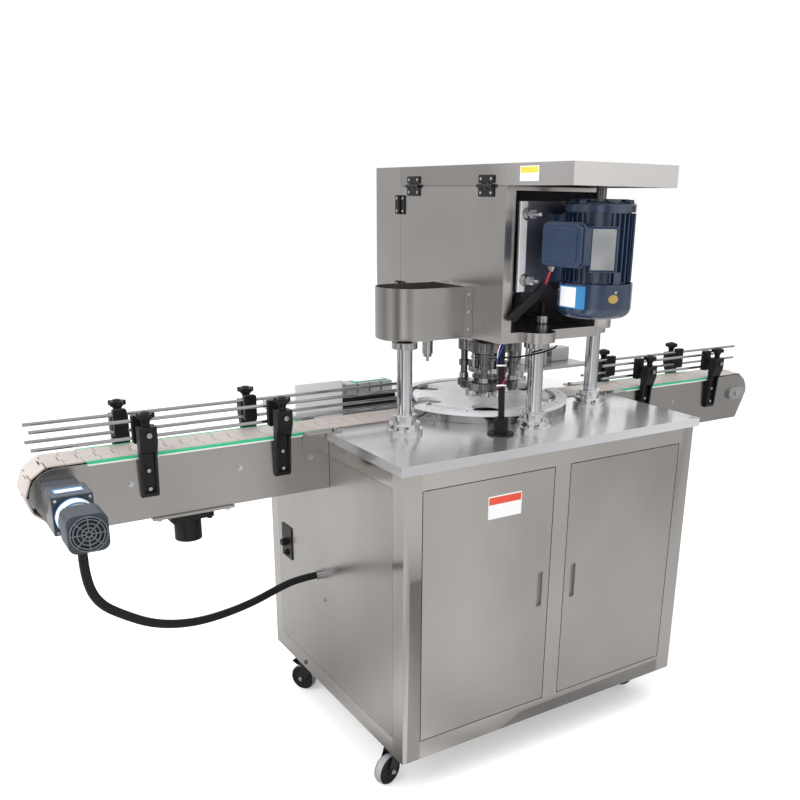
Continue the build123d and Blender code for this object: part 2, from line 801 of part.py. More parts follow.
def sprocket_shaft(x, y_from, y_to):
    """Shaft with two sprockets that fill the chain's turn with a small gap."""
    tooth_r = nose_r - chain_t - sprocket_gap
    with BuildPart() as p:
        with BuildSketch(plane_y(y_from)):
            with Locations((-x, axle_z)):
                Circle(shaft_r)
        extrude(amount=y_to - y_from)
        for dy in (-26.0, 26.0):
            with BuildSketch(plane_y(conv_y + dy - 6)):
                with Locations((-x, axle_z)):
                    Circle(tooth_r)
                    with PolarLocations(tooth_r, 10):
                        Circle(6.0, mode=Mode.SUBTRACT)
            extrude(amount=12)
    return p.part


save(sprocket_shaft(drive_x, near_face - adapter_len + 12, far_face + 20), "drive_shaft")
save(sprocket_shaft(tail_x, near_face - 16, far_face + 16), "tail_shaft")

# Gear motor: adapter block, gearbox, round-cornered motor and end cap
gy0 = near_face
gy1 = gy0 - adapter_len
gy2 = gy1 - gearbox_len
gy3 = gy2 - gmotor_len
gy4 = gy3 - gmotor_cap
with BuildPart() as gear_motor:
    with BuildSketch(plane_y(gy1)):
        with Locations((-drive_x, axle_z)):
            RectangleRounded(adapter_size, adapter_size, 6)
    extrude(amount=adapter_len)
    with BuildSketch(plane_y(gy2)):
        with Locations((-drive_x, axle_z)):
            RectangleRounded(gear_size, gear_size, 5)
    extrude(amount=gearbox_len)
    with BuildSketch(plane_y(gy3)):
        with Locations((-drive_x, axle_z)):
            RectangleRounded(gear_size - 4, gear_size - 4, 24)
    extrude(amount=gmotor_len)
    with BuildSketch(plane_y(gy4)):
        with Locations((-drive_x, axle_z)):
            RectangleRounded(gear_size - 2, gear_size - 2, 25)
    extrude(amount=gmotor_cap)
    with BuildSketch(plane_y(gy4 - 1)):
        with Locations((-drive_x, axle_z)):
            with PolarLocations(20, 12):
                Circle(2.2)
    extrude(amount=3, mode=Mode.SUBTRACT)
    with BuildSketch(plane_y(near_face - adapter_len + 11.5)):
        with Locations((-drive_x, axle_z)):
            Circle(shaft_r + running)
    extrude(amount=adapter_len, mode=Mode.SUBTRACT)
save(gear_motor.part, "gear_motor")

# Small gland under the end of the gear motor, where the hose goes on
gm_gland_y = gy3 + 12.0
gm_gland_x = drive_x - 12.0
gm_gland_z = axle_z - gear_size / 2 + 2
with BuildPart() as motor_gland:
    with BuildSketch(Plane.XY.offset(gm_gland_z - 14)):
        with Locations((gm_gland_x, gm_gland_y)):
            Circle(9.0)
            Circle(5.0, mode=Mode.SUBTRACT)
    extrude(amount=14)

# Free hose between the two glands
hose_points = [
    (gm_gland_x, gm_gland_y, gm_gland_z - 14),
    (gm_gland_x, gm_gland_y, 684.0),
    (-1068.0, -254.0, 630.0),
    (-1020.0, -234.0, 586.0),
    (-964.0, -203.0, 540.0),
    (-900.0, -162.0, 502.0),
    (-828.0, -114.0, 471.0),
    (-748.0, -64.0, 450.0),
    (-664.0, -20.0, 440.5),
    (-590.0, 16.0, 442.0),
    (-532.0, gland_y, gland_z),
    (-hx - gland_len, gland_y, gland_z),
]


def arc_radii(pts):
    out = []
    for a, b, c in zip(pts, pts[1:], pts[2:]):
        u = Vector(*b) - Vector(*a)
        v = Vector(*c) - Vector(*b)
        half = radians(u.get_angle(v)) / 2
        out.append(0.45 * min(u.length, v.length) / tan(half))
    return out


hose_radii = arc_radii(hose_points)
print("hose radii", [round(r) for r in hose_radii])
with BuildPart() as hose:
    with BuildLine() as hose_line:
        FilletPolyline(*hose_points, radius=hose_radii)
    with BuildSketch(Plane(origin=hose_points[0], z_dir=hose_line.wires()[0] % 0)):
        Circle(hose_r)
    sweep()
hose_volume = hose.part.volume / (pi * hose_r**2 * hose_line.wires()[0].length)
print("hose volume over section times length", round(hose_volume, 5))
save(hose.part, "motor_hose")


# Rail arms on both sides of the conveyor
def rail_arm(x, s):
    """Black bracket: foot on the side plate, block above that clamps the shaft."""
    f = near_face if s < 0 else far_face
    top = chain_z + rail_shaft_rise + arm_block_h / 2
    low = chain_z - arm_low_drop
    block_in = f + s * 4
    block_out = f + s * (4 + arm_block_t)
    with BuildPart() as p:
        with BuildSketch(Plane.YZ.offset(x - arm_w / 2)):
            with BuildLine():
                Polyline(
                    (f, low),
                    (f, plate_top - strip_h),
                    (f + s * 4, plate_top - strip_h + 3),
                    (block_in, top),
                    (block_out, top),
                    (block_out, top - arm_block_h),
                    (f + s * (arm_foot_t + 6), plate_top),
                    (f + s * arm_foot_t, low + 8),
                    (f + s * (arm_foot_t - 5), low),
                    (f, low),
                )
            make_face()
        extrude(amount=arm_w)
        # The face is hollowed between two ribs.
        with BuildSketch(Plane.YZ.offset(x - arm_w / 2 + 6)):
            with BuildLine():
                Polyline(
                    (f + s * 5.5, low + 10),
                    (f + s * 7.5, plate_top + 6),
                    (f + s * (arm_foot_t + 14), plate_top + 14),
                    (f + s * (arm_foot_t + 14), low + 10),
                    (f + s * 5.5, low + 10),
                )
            make_face()
        extrude(amount=arm_w - 12, mode=Mode.SUBTRACT)
        with BuildSketch(plane_y(min(block_in, block_out) - 8)):
            with Locations((-x, chain_z + rail_shaft_rise)):
                Circle(rail_shaft_r + running)
        extrude(amount=arm_block_t + 16, mode=Mode.SUBTRACT)
        with BuildSketch(Plane.XY.offset(chain_z + rail_shaft_rise)):
            with Locations((x, f + s * (4 + arm_block_t / 2))):
                Circle(knob_stud_r + running)
        extrude(amount=arm_block_h, mode=Mode.SUBTRACT)
    return p.part


def rail_knob(x, s):
    """Star knob on a stud that presses on the rail's shaft."""
    f = near_face if s < 0 else far_face
    ky = f + s * (4 + arm_block_t / 2)
    top = chain_z + rail_shaft_rise + arm_block_h / 2
    with BuildPart() as p:
        with BuildSketch(Plane.XY.offset(top + free_gap)):
            with Locations((x, ky)):
                Circle(knob_neck_r)
        extrude(amount=knob_neck_h)
        with BuildSketch(Plane.XY.offset(top + free_gap + knob_neck_h)):
            with Locations((x, ky)):
                Circle(knob_r - 4)
                with PolarLocations(knob_r - 5.5, 5):
                    Circle(5.5)
        extrude(amount=knob_h)
        with BuildSketch(Plane.XY.offset(chain_z + rail_shaft_rise + rail_shaft_r + free_gap)):
            with Locations((x, ky)):
                Circle(knob_stud_r)
        extrude(amount=arm_block_h / 2 - rail_shaft_r + 2)
    return p.part


def rail(xs, x0, x1, s):
    """Two rods held by clamp heads on cross shafts that slide through the arms."""
    ry = conv_y + s * rail_half
    solids = []
    for rise in (rod_low, rod_high):
        with BuildPart() as rod:
            with BuildSketch(Plane.YZ.offset(x0)):
                with Locations((ry, chain_z + rise)):
                    Circle(rod_r)
            extrude(amount=x1 - x0)
            chamfer(rod.edges().filter_by(GeomType.CIRCLE), 0.8)
        solids.append(rod.part)
    for x in xs:
        y_out = ry + s * rail_shaft_len
        ya, yb = sorted((ry + s * head_block[1] / 2, y_out))
        with BuildPart() as shaft:
            with BuildSketch(plane_y(ya)):
                with Locations((-x, chain_z + rail_shaft_rise)):
                    Circle(rail_shaft_r)
            extrude(amount=yb - ya)
            chamfer(shaft.edges().filter_by(GeomType.CIRCLE), 0.8)
        solids.append(shaft.part)
        with BuildPart() as head:
            with BuildSketch(plane_y(ry - head_block[1] / 2)):
                with Locations((-x + 6, chain_z + (rod_low + rod_high) / 2)):
                    RectangleRounded(head_block[0], head_block[2], 3)
            extrude(amount=head_block[1])
            with BuildSketch(Plane.YZ.offset(x - head_block[0] - 10)):
                with Locations((ry, chain_z + rod_low), (ry, chain_z + rod_high)):
                    Circle(rod_r)
            extrude(amount=2 * head_block[0] + 20, mode=Mode.SUBTRACT)
        solids.append(head.part)
    return Compound(children=solids)


save(rail(arm_x_left_near, rods_left[0], rods_left[1], -1), "rail_left_near")
save(rail(arm_x_left_far, rods_left[0], rods_left[1], 1), "rail_left_far")
save(rail(arm_x_right_near, rods_right_near[0], rods_right_near[1], -1), "rail_right_near")
save(rail(arm_x_right_far, rods_right_far[0], rods_right_far[1], 1), "rail_right_far")
arms = []
for xs, s, label in (
    (arm_x_left_near, -1, "left_near"),
    (arm_x_left_far, 1, "left_far"),
    (arm_x_right_near, -1, "right_near"),
    (arm_x_right_far, 1, "right_far"),
):
    for i, x in enumerate(xs):
        arms.append(rail_arm(x, s))
        save(rail_knob(x, s), "rail_knob_" + label + "_" + str(i + 1))
save(Compound(children=arms), "rail_arms")

# Columns with their feet and top flanges
columns = []
for cx, cy in (col_a, col_b, col_c, col_d):
    with BuildPart() as column:
        with BuildSketch(Plane.XY.offset(table_z)):
            with Locations((cx, cy)):
                Circle(column_r)
        extrude(amount=base_z0 - table_z)
    with BuildPart() as foot:
        with BuildSketch(Plane.XY.offset(table_z)):
            with Locations((cx, cy)):
                Circle(foot_r)
        extrude(amount=foot_t)
        with BuildSketch(Plane.XY.offset(table_z + foot_t)):
            with Locations((cx, cy)):
                Circle(neck_r)
        extrude(amount=neck_h)
        with BuildSketch(Plane.XY.offset(table_z)):
            with Locations((cx, cy)):
                Circle(column_r)
        extrude(amount=foot_t + neck_h + 1, mode=Mode.SUBTRACT)
        with BuildSketch(Plane.XY.offset(table_z + 6)):
            with Locations((cx + (foot_r + column_r) / 2, cy)):
                Rectangle(foot_r - column_r + 4, 2.0)
        extrude(amount=foot_t + neck_h, mode=Mode.SUBTRACT)
    with BuildPart() as cap:
        with BuildSketch(Plane.XY.offset(base_z0 - flange_t)):
            with Locations((cx, cy)):
                Circle(flange_r)
                Circle(column_r, mode=Mode.SUBTRACT)
        extrude(amount=flange_t)
    columns += [column.part, foot.part, cap.part]
save(Compound(children=columns), "columns")

# Guard over the left column: its outline is also the outline of the base's left arm
guard_y0 = -131.0
guard_r = 75.0
guard_cx = -256.0
guard_y1 = guard_y0 + 2 * guard_r
guard_h = 120.0


def guard_outline(inset):
    """Straight sides from the box and a half round end, inset from the sheet's face."""
    r = guard_r - inset
    cy = guard_y0 + guard_r
    Line((box_x0, cy - r), (guard_cx, cy - r))
    ThreePointArc((guard_cx, cy - r), (guard_cx - r, cy), (guard_cx, cy + r))
    Line((guard_cx, cy + r), (box_x0, cy + r))
    Line((box_x0, cy + r), (box_x0, cy - r))


# Head base: thick plate with a rounded lobe over each column
with BuildPart() as head_base:
    with BuildSketch(Plane.XY.offset(base_z0)):
        with Locations(((box_x0 + box_x1) / 2, (box_y0 + seam_y) / 2)):
            Rectangle(box_x1 - box_x0 - 2 * shell_t, seam_y - box_y0)
        with Locations(col_b, col_c, col_d):
            Circle(lobe_r)
        with BuildLine():
            guard_outline(shell_t + 1.0)
        make_face()
        with Locations((box_x0 + 5, guard_y0 + guard_r)):
            Rectangle(16, 2 * guard_r - 2 * shell_t - 2)
        with BuildLine():
            Polyline(
                (box_x1 - 10, seam_y - 6),
                (col_d[0], col_d[1] + lobe_r),
                (col_d[0] + lobe_r, col_d[1]),
                (col_c[0] + lobe_r, col_c[1]),
                (col_c[0], col_c[1] - lobe_r),
                (box_x1 - 10, col_c[1] - lobe_r),
                (box_x1 - 10, seam_y - 6),
            )
        make_face()
    extrude(amount=base_t)
    with BuildSketch(Plane.XY.offset(base_z0 - 1)):
        with Locations((head_x, head_y)):
            Circle(housing_r)
        with Locations((star_x, star_y)):
            Circle(star_shaft_r + 10)
        with Locations(conduit_top):
            Circle(conduit_r + 3.0)
    extrude(amount=base_t + 2, mode=Mode.SUBTRACT)
# Spindle housing through the base
housing_z0 = base_z0 - housing_drop
housing_z1 = base_z0 + housing_top
with BuildPart() as housing:
    with BuildSketch(Plane.XY.offset(housing_z0)):
        with Locations((head_x, head_y)):
            Circle(housing_r)
    extrude(amount=housing_z1 - housing_z0)
    with BuildSketch(Plane.XY.offset(base_z1)):
        with Locations((head_x, head_y)):
            Circle(housing_flange_r)
    extrude(amount=18)
    with BuildSketch(Plane.XY.offset(housing_z0)):
        with Locations((head_x, head_y)):
            Circle(spindle_r + running)
    extrude(amount=housing_z1 - housing_z0, mode=Mode.SUBTRACT)
# Bearing sleeve of the star wheel's shaft
with BuildPart() as star_sleeve:
    with BuildSketch(Plane.XY.offset(base_z0 - 20)):
        with Locations((star_x, star_y)):
            Circle(star_shaft_r + 10)
            Circle(star_shaft_r + running, mode=Mode.SUBTRACT)
    extrude(amount=base_t + 40)
# Rod with its collar on the base, seen through the window
with BuildPart() as guide_rod:
    with BuildSketch(Plane.XY.offset(base_z1)):
        with Locations((92, -150)):
            Circle(17.5)
    extrude(amount=12)
    with BuildSketch(Plane.XY.offset(base_z1 + 12)):
        with Locations((92, -150)):
            Circle(7.5)
    extrude(amount=26)
# Small cylinder hanging below the left arm of the base
with BuildPart() as stop_cylinder:
    with BuildSketch(Plane.XY.offset(base_z0 - 52)):
        with Locations((-165, -12)):
            Circle(14.0)
    extrude(amount=52)
    with BuildSketch(Plane.XY.offset(base_z0 - 60)):
        with Locations((-165, -12)):
            Circle(11.0)
    extrude(amount=8)
    with BuildSketch(Plane.XY.offset(base_z0 - 72)):
        with Locations((-165, -12)):
            Circle(4.0)
    extrude(amount=12)
    with BuildSketch(Plane.XY.offset(base_z0 - 6)):
        with Locations((-165, -12)):
            RegularPolygon(18.0, 6)
    extrude(amount=6)
base_children = [head_base.part, housing.part, star_sleeve.part, guide_rod.part, stop_cylinder.part]
save(Compound(children=base_children), "head_base")

# Turning head: spindle, carrier with four lugs and pins, body, chuck and pulley
pulley_z0 = housing_z1 + 19
with BuildPart() as seaming_head:
    with BuildSketch(Plane.XY.offset(carrier_z)):
        with Locations((head_x, head_y)):
            Circle(spindle_r)
    extrude(amount=pulley_z0 + pulley_t - carrier_z)
    with BuildSketch(Plane.XY.offset(carrier_z)):
        with Locations((head_x, head_y)):
            Circle(carrier_r)
            with PolarLocations(pin_ring_r, 4, 45):
                Circle(pin_r + 7)
    extrude(amount=carrier_t)
    chamfer(seaming_head.faces().filter_by(Axis.Z).sort_by(Axis.Z)[0].edges(), 2.0)
    with BuildSketch(Plane.XY.offset(arm_z + arm_t + 2)):
        with Locations((head_x, head_y)):
            Circle(body_r)
    extrude(amount=carrier_z - arm_z - arm_t - 2)
    with BuildSketch(Plane.XY.offset(chuck_z + 14)):
        with Locations((head_x, head_y)):
            Circle(chuck_r - 9)
    extrude(amount=arm_z + arm_t - chuck_z - 12)
    with BuildSketch(Plane.XY.offset(chuck_z)):
        with Locations((head_x, head_y)):
            Circle(chuck_r)
    extrude(amount=14)
    with BuildSketch(Plane.XY.offset(pin_z)):
        with Locations((head_x, head_y)):
            with PolarLocations(pin_ring_r, 4, 45):
                Circle(pin_r)
    extrude(amount=carrier_z - pin_z)
    with BuildSketch(Plane.XY.offset(pulley_z0)):
        with Locations((head_x, head_y)):
            Circle(pulley_r)
    extrude(amount=pulley_t)
    with BuildSketch(Plane.XY.offset(pulley_z0 + (pulley_t - belt_w) / 2)):
        with Locations((head_x, head_y)):
            Circle(pulley_r + 1)
            Circle(pulley_r - 6, mode=Mode.SUBTRACT)
    extrude(amount=belt_w, mode=Mode.SUBTRACT)
save(seaming_head.part, "seaming_head")

for k in range(4):
    a = radians(45 + 90 * k)
    px = head_x + pin_ring_r * cos(a)
    py = head_y + pin_ring_r * sin(a)
    b = a + radians(roller_turn)
    rx = head_x + roller_ring_r * cos(b)
    ry = head_y + roller_ring_r * sin(b)
    c = a - radians(22)
    fx = head_x + 76.0 * cos(c)
    fy = head_y + 76.0 * sin(c)
    with BuildPart() as seam_arm:
        with BuildSketch(Plane.XY.offset(arm_z)):
            with Locations((px, py)):
                Circle(pin_r + 7)
            with Locations((rx, ry)):
                Circle(9.0)
            with Locations((fx, fy)):
                Circle(7.5)
            for qx, qy, w in ((rx, ry, 8.5), (fx, fy, 7.0)):
                with BuildLine():
                    u = Vector(qx - px, qy - py).normalized()
                    n = Vector(-u.Y, u.X)
                    Polyline(
                        (px + n.X * 12, py + n.Y * 12),
                        (qx + n.X * w, qy + n.Y * w),
                        (qx - n.X * w, qy - n.Y * w),
                        (px - n.X * 12, py - n.Y * 12),
                        (px + n.X * 12, py + n.Y * 12),
                    )
                make_face()
            with Locations((px, py)):
                Circle(pin_r + running, mode=Mode.SUBTRACT)
        extrude(amount=arm_t)
        with BuildSketch(Plane.XY.offset(arm_z)):
            with Locations((rx, ry)):
                Circle(4.0)
        extrude(amount=chuck_z + 2 - arm_z)
    save(seam_arm.part, "roller_arm_" + str(k + 1))
    with BuildPart() as roller:
        with BuildSketch(Plane.XY.offset(chuck_z + 3)):
            with Locations((rx, ry)):
                Circle(roller_r)
        extrude(amount=arm_z - chuck_z - 3 - free_gap)
        fillet(roller.edges().filter_by(GeomType.CIRCLE), 2.5)
        with BuildSketch(Plane.XY.offset(chuck_z)):
            with Locations((rx, ry)):
                Circle(4.0 + running)
        extrude(amount=arm_z - chuck_z, mode=Mode.SUBTRACT)
    save(roller.part, "seaming_roller_" + str(k + 1))

# Belt round both pulleys, above the base
belt_z0 = pulley_z0 + (pulley_t - belt_w) / 2 + 2
belt_r1 = pulley_r - 6 + free_gap
belt_r2 = motor_pulley_r - 6 + free_gap
dx = motor_x - head_x
dy = motor_y - head_y
dist = hypot(dx, dy)
base_angle = atan2(dy, dx)
half_angle = atan2(sqrt(dist**2 - (belt_r1 - belt_r2) ** 2), belt_r1 - belt_r2)


def belt_loop(extra):
    """Closed outline round both pulleys, as far out as extra."""
    r1 = belt_r1 + extra
    r2 = belt_r2 + extra
    pts = []
    for sgn in (1, -1):
        ang = base_angle + sgn * half_angle
        pts.append(
            (
                (head_x + r1 * cos(ang), head_y + r1 * sin(ang)),
                (motor_x + r2 * cos(ang), motor_y + r2 * sin(ang)),
            )
        )
    back = (head_x - r1 * cos(base_angle), head_y - r1 * sin(base_angle))
    front = (motor_x + r2 * cos(base_angle), motor_y + r2 * sin(base_angle))
    Line(pts[0][0], pts[0][1])
    ThreePointArc(pts[0][1], front, pts[1][1])
    Line(pts[1][1], pts[1][0])
    ThreePointArc(pts[1][0], back, pts[0][0])


with BuildPart() as belt:
    with BuildSketch(Plane.XY.offset(belt_z0)):
        with BuildLine():
            belt_loop(belt_t)
        make_face()
        with BuildLine():
            belt_loop(0)
        make_face(mode=Mode.SUBTRACT)
    extrude(amount=belt_w - 4)
save(belt.part, "drive_belt")

# Box shell round the drive: side panels and the window frame on the door side
with BuildPart() as head_shell:
    with BuildSketch(Plane.XY.offset(base_z0)):
        with Locations(((box_x0 + box_x1) / 2, (box_y0 + seam_y - lid_gap) / 2)):
            Rectangle(box_x1 - box_x0, seam_y - lid_gap - box_y0)
        with Locations(((box_x0 + box_x1) / 2, (box_y0 + seam_y) / 2 + shell_t)):
            Rectangle(box_x1 - box_x0 - 2 * shell_t, seam_y - box_y0 + 2, mode=Mode.SUBTRACT)
    extrude(amount=shell_h)
    wx0 = box_x0 + window_left
    wx1 = box_x1 - window_right
    with BuildSketch(plane_y(box_y0 - 5)):
        with Locations((-(wx0 + wx1) / 2, (base_z1 + shell_z1 - window_top) / 2)):
            Rectangle(wx1 - wx0, shell_z1 - window_top - base_z1)
        with Locations((-(box_x0 + box_x1) / 2, (base_z0 + base_z1) / 2 - 0.5)):
            Rectangle(box_x1 - box_x0 - 2 * shell_t, base_t + 1.01)
    extrude(amount=20, mode=Mode.SUBTRACT)
    right_y0 = col_c[1] - lobe_r - 1.0
    left_y0 = guard_y0 + shell_t
    for xx, ya, yb in (
        (box_x0, left_y0, left_y0 + 2 * (guard_r - shell_t)),
        (box_x1, right_y0, seam_y + 1.0),
    ):
        with BuildSketch(Plane.XY.offset(base_z0 - 1)):
            with Locations((xx, (ya + yb) / 2)):
                Rectangle(12, yb - ya)
        extrude(amount=base_t + 1, mode=Mode.SUBTRACT)

# Curved guard over the left column, open above and below
with BuildPart() as side_guard:
    with BuildSketch(Plane.XY.offset(base_z0 + 3)):
        with BuildLine():
            guard_outline(0)
        make_face()
        with BuildLine():
            guard_outline(shell_t)
        make_face(mode=Mode.SUBTRACT)
        with Locations((box_x0, guard_y0 + guard_r)):
            Rectangle(6, 2 * guard_r - 2 * shell_t, mode=Mode.SUBTRACT)
    extrude(amount=guard_h)

# Lid with its hood over the motor: an inverted tray
with BuildPart() as lid:
    lid_y1 = seam_y - lid_gap
    with BuildSketch(Plane.XY.offset(lid_z0)):
        with Locations(((box_x0 + box_x1) / 2, (hood_y0 + lid_y1) / 2)):
            Rectangle(box_x1 - box_x0, lid_y1 - hood_y0)
    extrude(amount=lid_z1 - lid_z0)
    with BuildSketch(Plane.XY.offset(lid_z0 - 1)):
        with Locations(((box_x0 + box_x1) / 2, (hood_y0 + lid_y1) / 2)):
            Rectangle(box_x1 - box_x0 - 2 * shell_t, lid_y1 - hood_y0 - 2 * shell_t)
    extrude(amount=lid_z1 - lid_z0 + 1 - shell_t, mode=Mode.SUBTRACT)

# Front cover: closed sheet box beyond the seam, hinged on its left edge
with BuildPart() as front_cover:
    with BuildSketch(Plane.XY.offset(base_z0)):
        with Locations(((box_x0 + box_x1) / 2, (seam_y + box_y1) / 2)):
            Rectangle(box_x1 - box_x0, box_y1 - seam_y)
    extrude(amount=lid_z1 - base_z0)
    with BuildSketch(Plane.XY.offset(base_z0 - 1)):
        with Locations(((box_x0 + box_x1) / 2, (seam_y + box_y1) / 2 - shell_t)):
            Rectangle(box_x1 - box_x0 - 2 * shell_t, box_y1 - seam_y)
    extrude(amount=lid_z1 - base_z0 + 1 - shell_t, mode=Mode.SUBTRACT)
    with BuildSketch(Plane.XY.offset(base_z0 - 1)):
        with Locations((box_x1, col_d[1])):
            Rectangle(3 * shell_t, 2 * lobe_r + 6)
    extrude(amount=base_t + 4, mode=Mode.SUBTRACT)


# Hinges: two on the lid's left edge, two on the seam of the front cover
hinge_leaf = 24.0
hinge_len = 60.0
hinge_t = 3.0
barrel_r = 4.5
lid_hinge_y = (143.0, -175.0)
cover_hinge_z = (1370.0, 1148.0)
fixed_leaves = []
lid_leaves = []
cover_leaves = []
hinge_x = box_x0 - barrel_r - 0.5
for yc in lid_hinge_y:
    for part_list, s in ((fixed_leaves, -1), (lid_leaves, 1)):
        with BuildPart() as leaf:
            za = shell_z1 + lid_gap / 2
            zc = za + s * (hinge_leaf / 2 + 3)
            with BuildSketch(Plane.YZ.offset(box_x0 - hinge_t)):
                with Locations((yc, zc)):
                    RectangleRounded(hinge_len, hinge_leaf - 6, 3)
            extrude(amount=hinge_t)
            spans = ((-30, -18), (-5, 5), (18, 30)) if s < 0 else ((-17.6, -5.4), (5.4, 17.6))
            for a, b in spans:
                with BuildSketch(plane_y(yc + a)):
                    with Locations((-hinge_x, za)):
                        Circle(barrel_r)
                        Circle(2.0 if s < 0 else 2.0 + running, mode=Mode.SUBTRACT)
                    with Locations((-(box_x0 - hinge_t / 2), za + s * 4)):
                        Rectangle(hinge_t, 8.0)
                    with Locations((-hinge_x, za)):
                        Circle(2.0 if s < 0 else 2.0 + running, mode=Mode.SUBTRACT)
                extrude(amount=b - a)
            if s < 0:
                with BuildSketch(plane_y(yc - 30)):
                    with Locations((-hinge_x, za)):
                        Circle(2.0)
                extrude(amount=60)
        part_list.append(leaf.part)
for zc in cover_hinge_z:
    for part_list, s in ((fixed_leaves, -1), (cover_leaves, 1)):
        with BuildPart() as leaf:
            ya = seam_y - lid_gap / 2
            yc = ya + s * (hinge_leaf / 2 + 3)
            with BuildSketch(Plane.YZ.offset(box_x0 - hinge_t)):
                with Locations((yc, zc)):
                    RectangleRounded(hinge_leaf - 6, 48, 3)
            extrude(amount=hinge_t)
            spans = ((-24, -14), (-4, 4), (14, 24)) if s < 0 else ((-13.6, -4.4), (4.4, 13.6))
            for a, b in spans:
                with BuildSketch(Plane.XY.offset(zc + a)):
                    with Locations((hinge_x, ya)):
                        Circle(barrel_r)
                    with Locations((box_x0 - hinge_t / 2, ya + s * 4)):
                        Rectangle(hinge_t, 8.0)
                    with Locations((hinge_x, ya)):
                        Circle(2.0 if s < 0 else 2.0 + running, mode=Mode.SUBTRACT)
                extrude(amount=b - a)
            if s < 0:
                with BuildSketch(Plane.XY.offset(zc - 24)):
                    with Locations((hinge_x, ya)):
                        Circle(2.0)
                extrude(amount=48)
        part_list.append(leaf.part)
save(Compound(children=[front_cover.part] + cover_leaves), "front_cover")
save(Compound(children=[lid.part] + lid_leaves), "lid")
save(Compound(children=[head_shell.part, side_guard.part] + fixed_leaves), "head_shell")

# Motor mounting plate with its four studs and the brace below
mount_y0 = motor_y + motor_h
with BuildPart() as motor_plate:
    with BuildSketch(plane_y(mount_y0)):
        with Locations((-(plate_x0 + plate_x1) / 2, (mount_z0 + mount_z1) / 2)):
            Rectangle(plate_x1 - plate_x0, mount_z1 - mount_z0)
    extrude(amount=mount_fold)
    with BuildSketch(plane_y(mount_y0 + 5)):
        with Locations((-(plate_x0 + plate_x1) / 2, (mount_z0 + mount_z1) / 2)):
            Rectangle(plate_x1 - plate_x0 - 8, mount_z1 - mount_z0 - 8)
    extrude(amount=mount_fold, mode=Mode.SUBTRACT)
    with BuildSketch(plane_y(mount_y0 - 1)):
        with Locations((-(plate_x0 + plate_x1) / 2, (mount_z0 + mount_z1) / 2)):
            with GridLocations(plate_x1 - plate_x0 - 30, mount_z1 - mount_z0 - 56, 2, 2):
                Circle(5.1)
    extrude(amount=8, mode=Mode.SUBTRACT)
plate_pieces = [motor_plate.part]
stud_x = (plate_x0 + 15, plate_x1 - 15)
stud_z = ((mount_z0 + mount_z1) / 2 - (mount_z1 - mount_z0 - 56) / 2, (mount_z0 + mount_z1) / 2 + (mount_z1 - mount_z0 - 56) / 2)
cross_y = mount_y0 + mount_fold + 34
for x in stud_x:
    for z in stud_z:
        with BuildPart() as stud:
            with BuildSketch(plane_y(mount_y0 - 26)):
                with Locations((-x, z)):
                    Circle(5.0)
            extrude(amount=cross_y - mount_y0 + 26)
        plate_pieces.append(stud.part)
        for y_nut in (mount_y0 - 9, mount_y0 + 5.0):
            with BuildPart() as nut:
                with BuildSketch(plane_y(y_nut)):
                    with Locations((-x, z)):
                        RegularPolygon(9.5, 6)
                        Circle(5.0, mode=Mode.SUBTRACT)
                extrude(amount=9)
            plate_pieces.append(nut.part)
for z in stud_z:
    with BuildPart() as cross_bar:
        with BuildSketch(plane_y(cross_y)):
            with Locations((-(box_x0 + box_x1) / 2, z)):
                Rectangle(box_x1 - box_x0 - 2 * shell_t, 30)
        extrude(amount=8)
    plate_pieces.append(cross_bar.part)
with BuildPart() as brace:
    with BuildSketch(Plane.YZ.offset(plate_x0 + 8)):
        with BuildLine():
            Polyline(
                (mount_y0 + 6, mount_z0),
                (mount_y0 + mount_fold, mount_z0),
                (-178.0, base_z1),
                (-204.0, base_z1),
                (mount_y0 + 6, mount_z0 - 14),
                (mount_y0 + 6, mount_z0),
            )
        make_face()
    extrude(amount=8)
save(Compound(children=plate_pieces + [brace.part]), "motor_mount")

# Main motor: finned body with feet, terminal box, fan cover
with BuildPart() as motor_body:
    with BuildSketch(Plane.XY.offset(fan_cover_z1 - 6)):
        with Locations((motor_x, motor_y)):
            Circle(motor_r)
    extrude(amount=motor_body_z1 - fan_cover_z1 - 12)
    with BuildSketch(Plane.XY.offset(fan_cover_z1 + 4)):
        for k in range(36):
            a = 360 / 36 * k
            with Locations(Location((motor_x, motor_y), a)):
                with Locations((motor_r - 2 + (fin_r - motor_r) / 2, 0)):
                    Rectangle(fin_r - motor_r + 4, 3.0)
    extrude(amount=motor_body_z1 - fan_cover_z1 - 34)
    with BuildSketch(Plane.XY.offset(motor_body_z1 - 28)):
        with Locations((motor_x, motor_y)):
            Circle(fin_r)
    extrude(amount=22)
    fillet(motor_body.edges().filter_by(GeomType.CIRCLE).sort_by(Axis.Z)[-1], 8.0)
    with BuildSketch(Plane.XY.offset(motor_body_z1 - 8)):
        with Locations((motor_x, motor_y)):
            Circle(fin_r - 18)
    extrude(amount=8)
    # Feet on the mounting plate
    for sx in (-1, 1):
        with BuildSketch(Plane.XY.offset(mount_z0 + 22)):
            with Locations((motor_x + sx * 56, motor_y + motor_h - 6)):
                Rectangle(28, 12)
            with Locations((motor_x + sx * 56, motor_y + motor_h / 2 + 10)):
                Rectangle(10, motor_h - 30)
        extrude(amount=mount_z1 - mount_z0 - 50)
    with BuildSketch(Plane.XY.offset(fan_cover_z1 - 10)):
        with Locations((motor_x, motor_y)):
            Circle(motor_shaft_r + running)
    extrude(amount=motor_body_z1, mode=Mode.SUBTRACT)
tb_x0 = -112.0
tb_y0 = -392.0
tb_y1 = -312.0
tb_z0 = 1245.0
tb_z1 = 1343.0
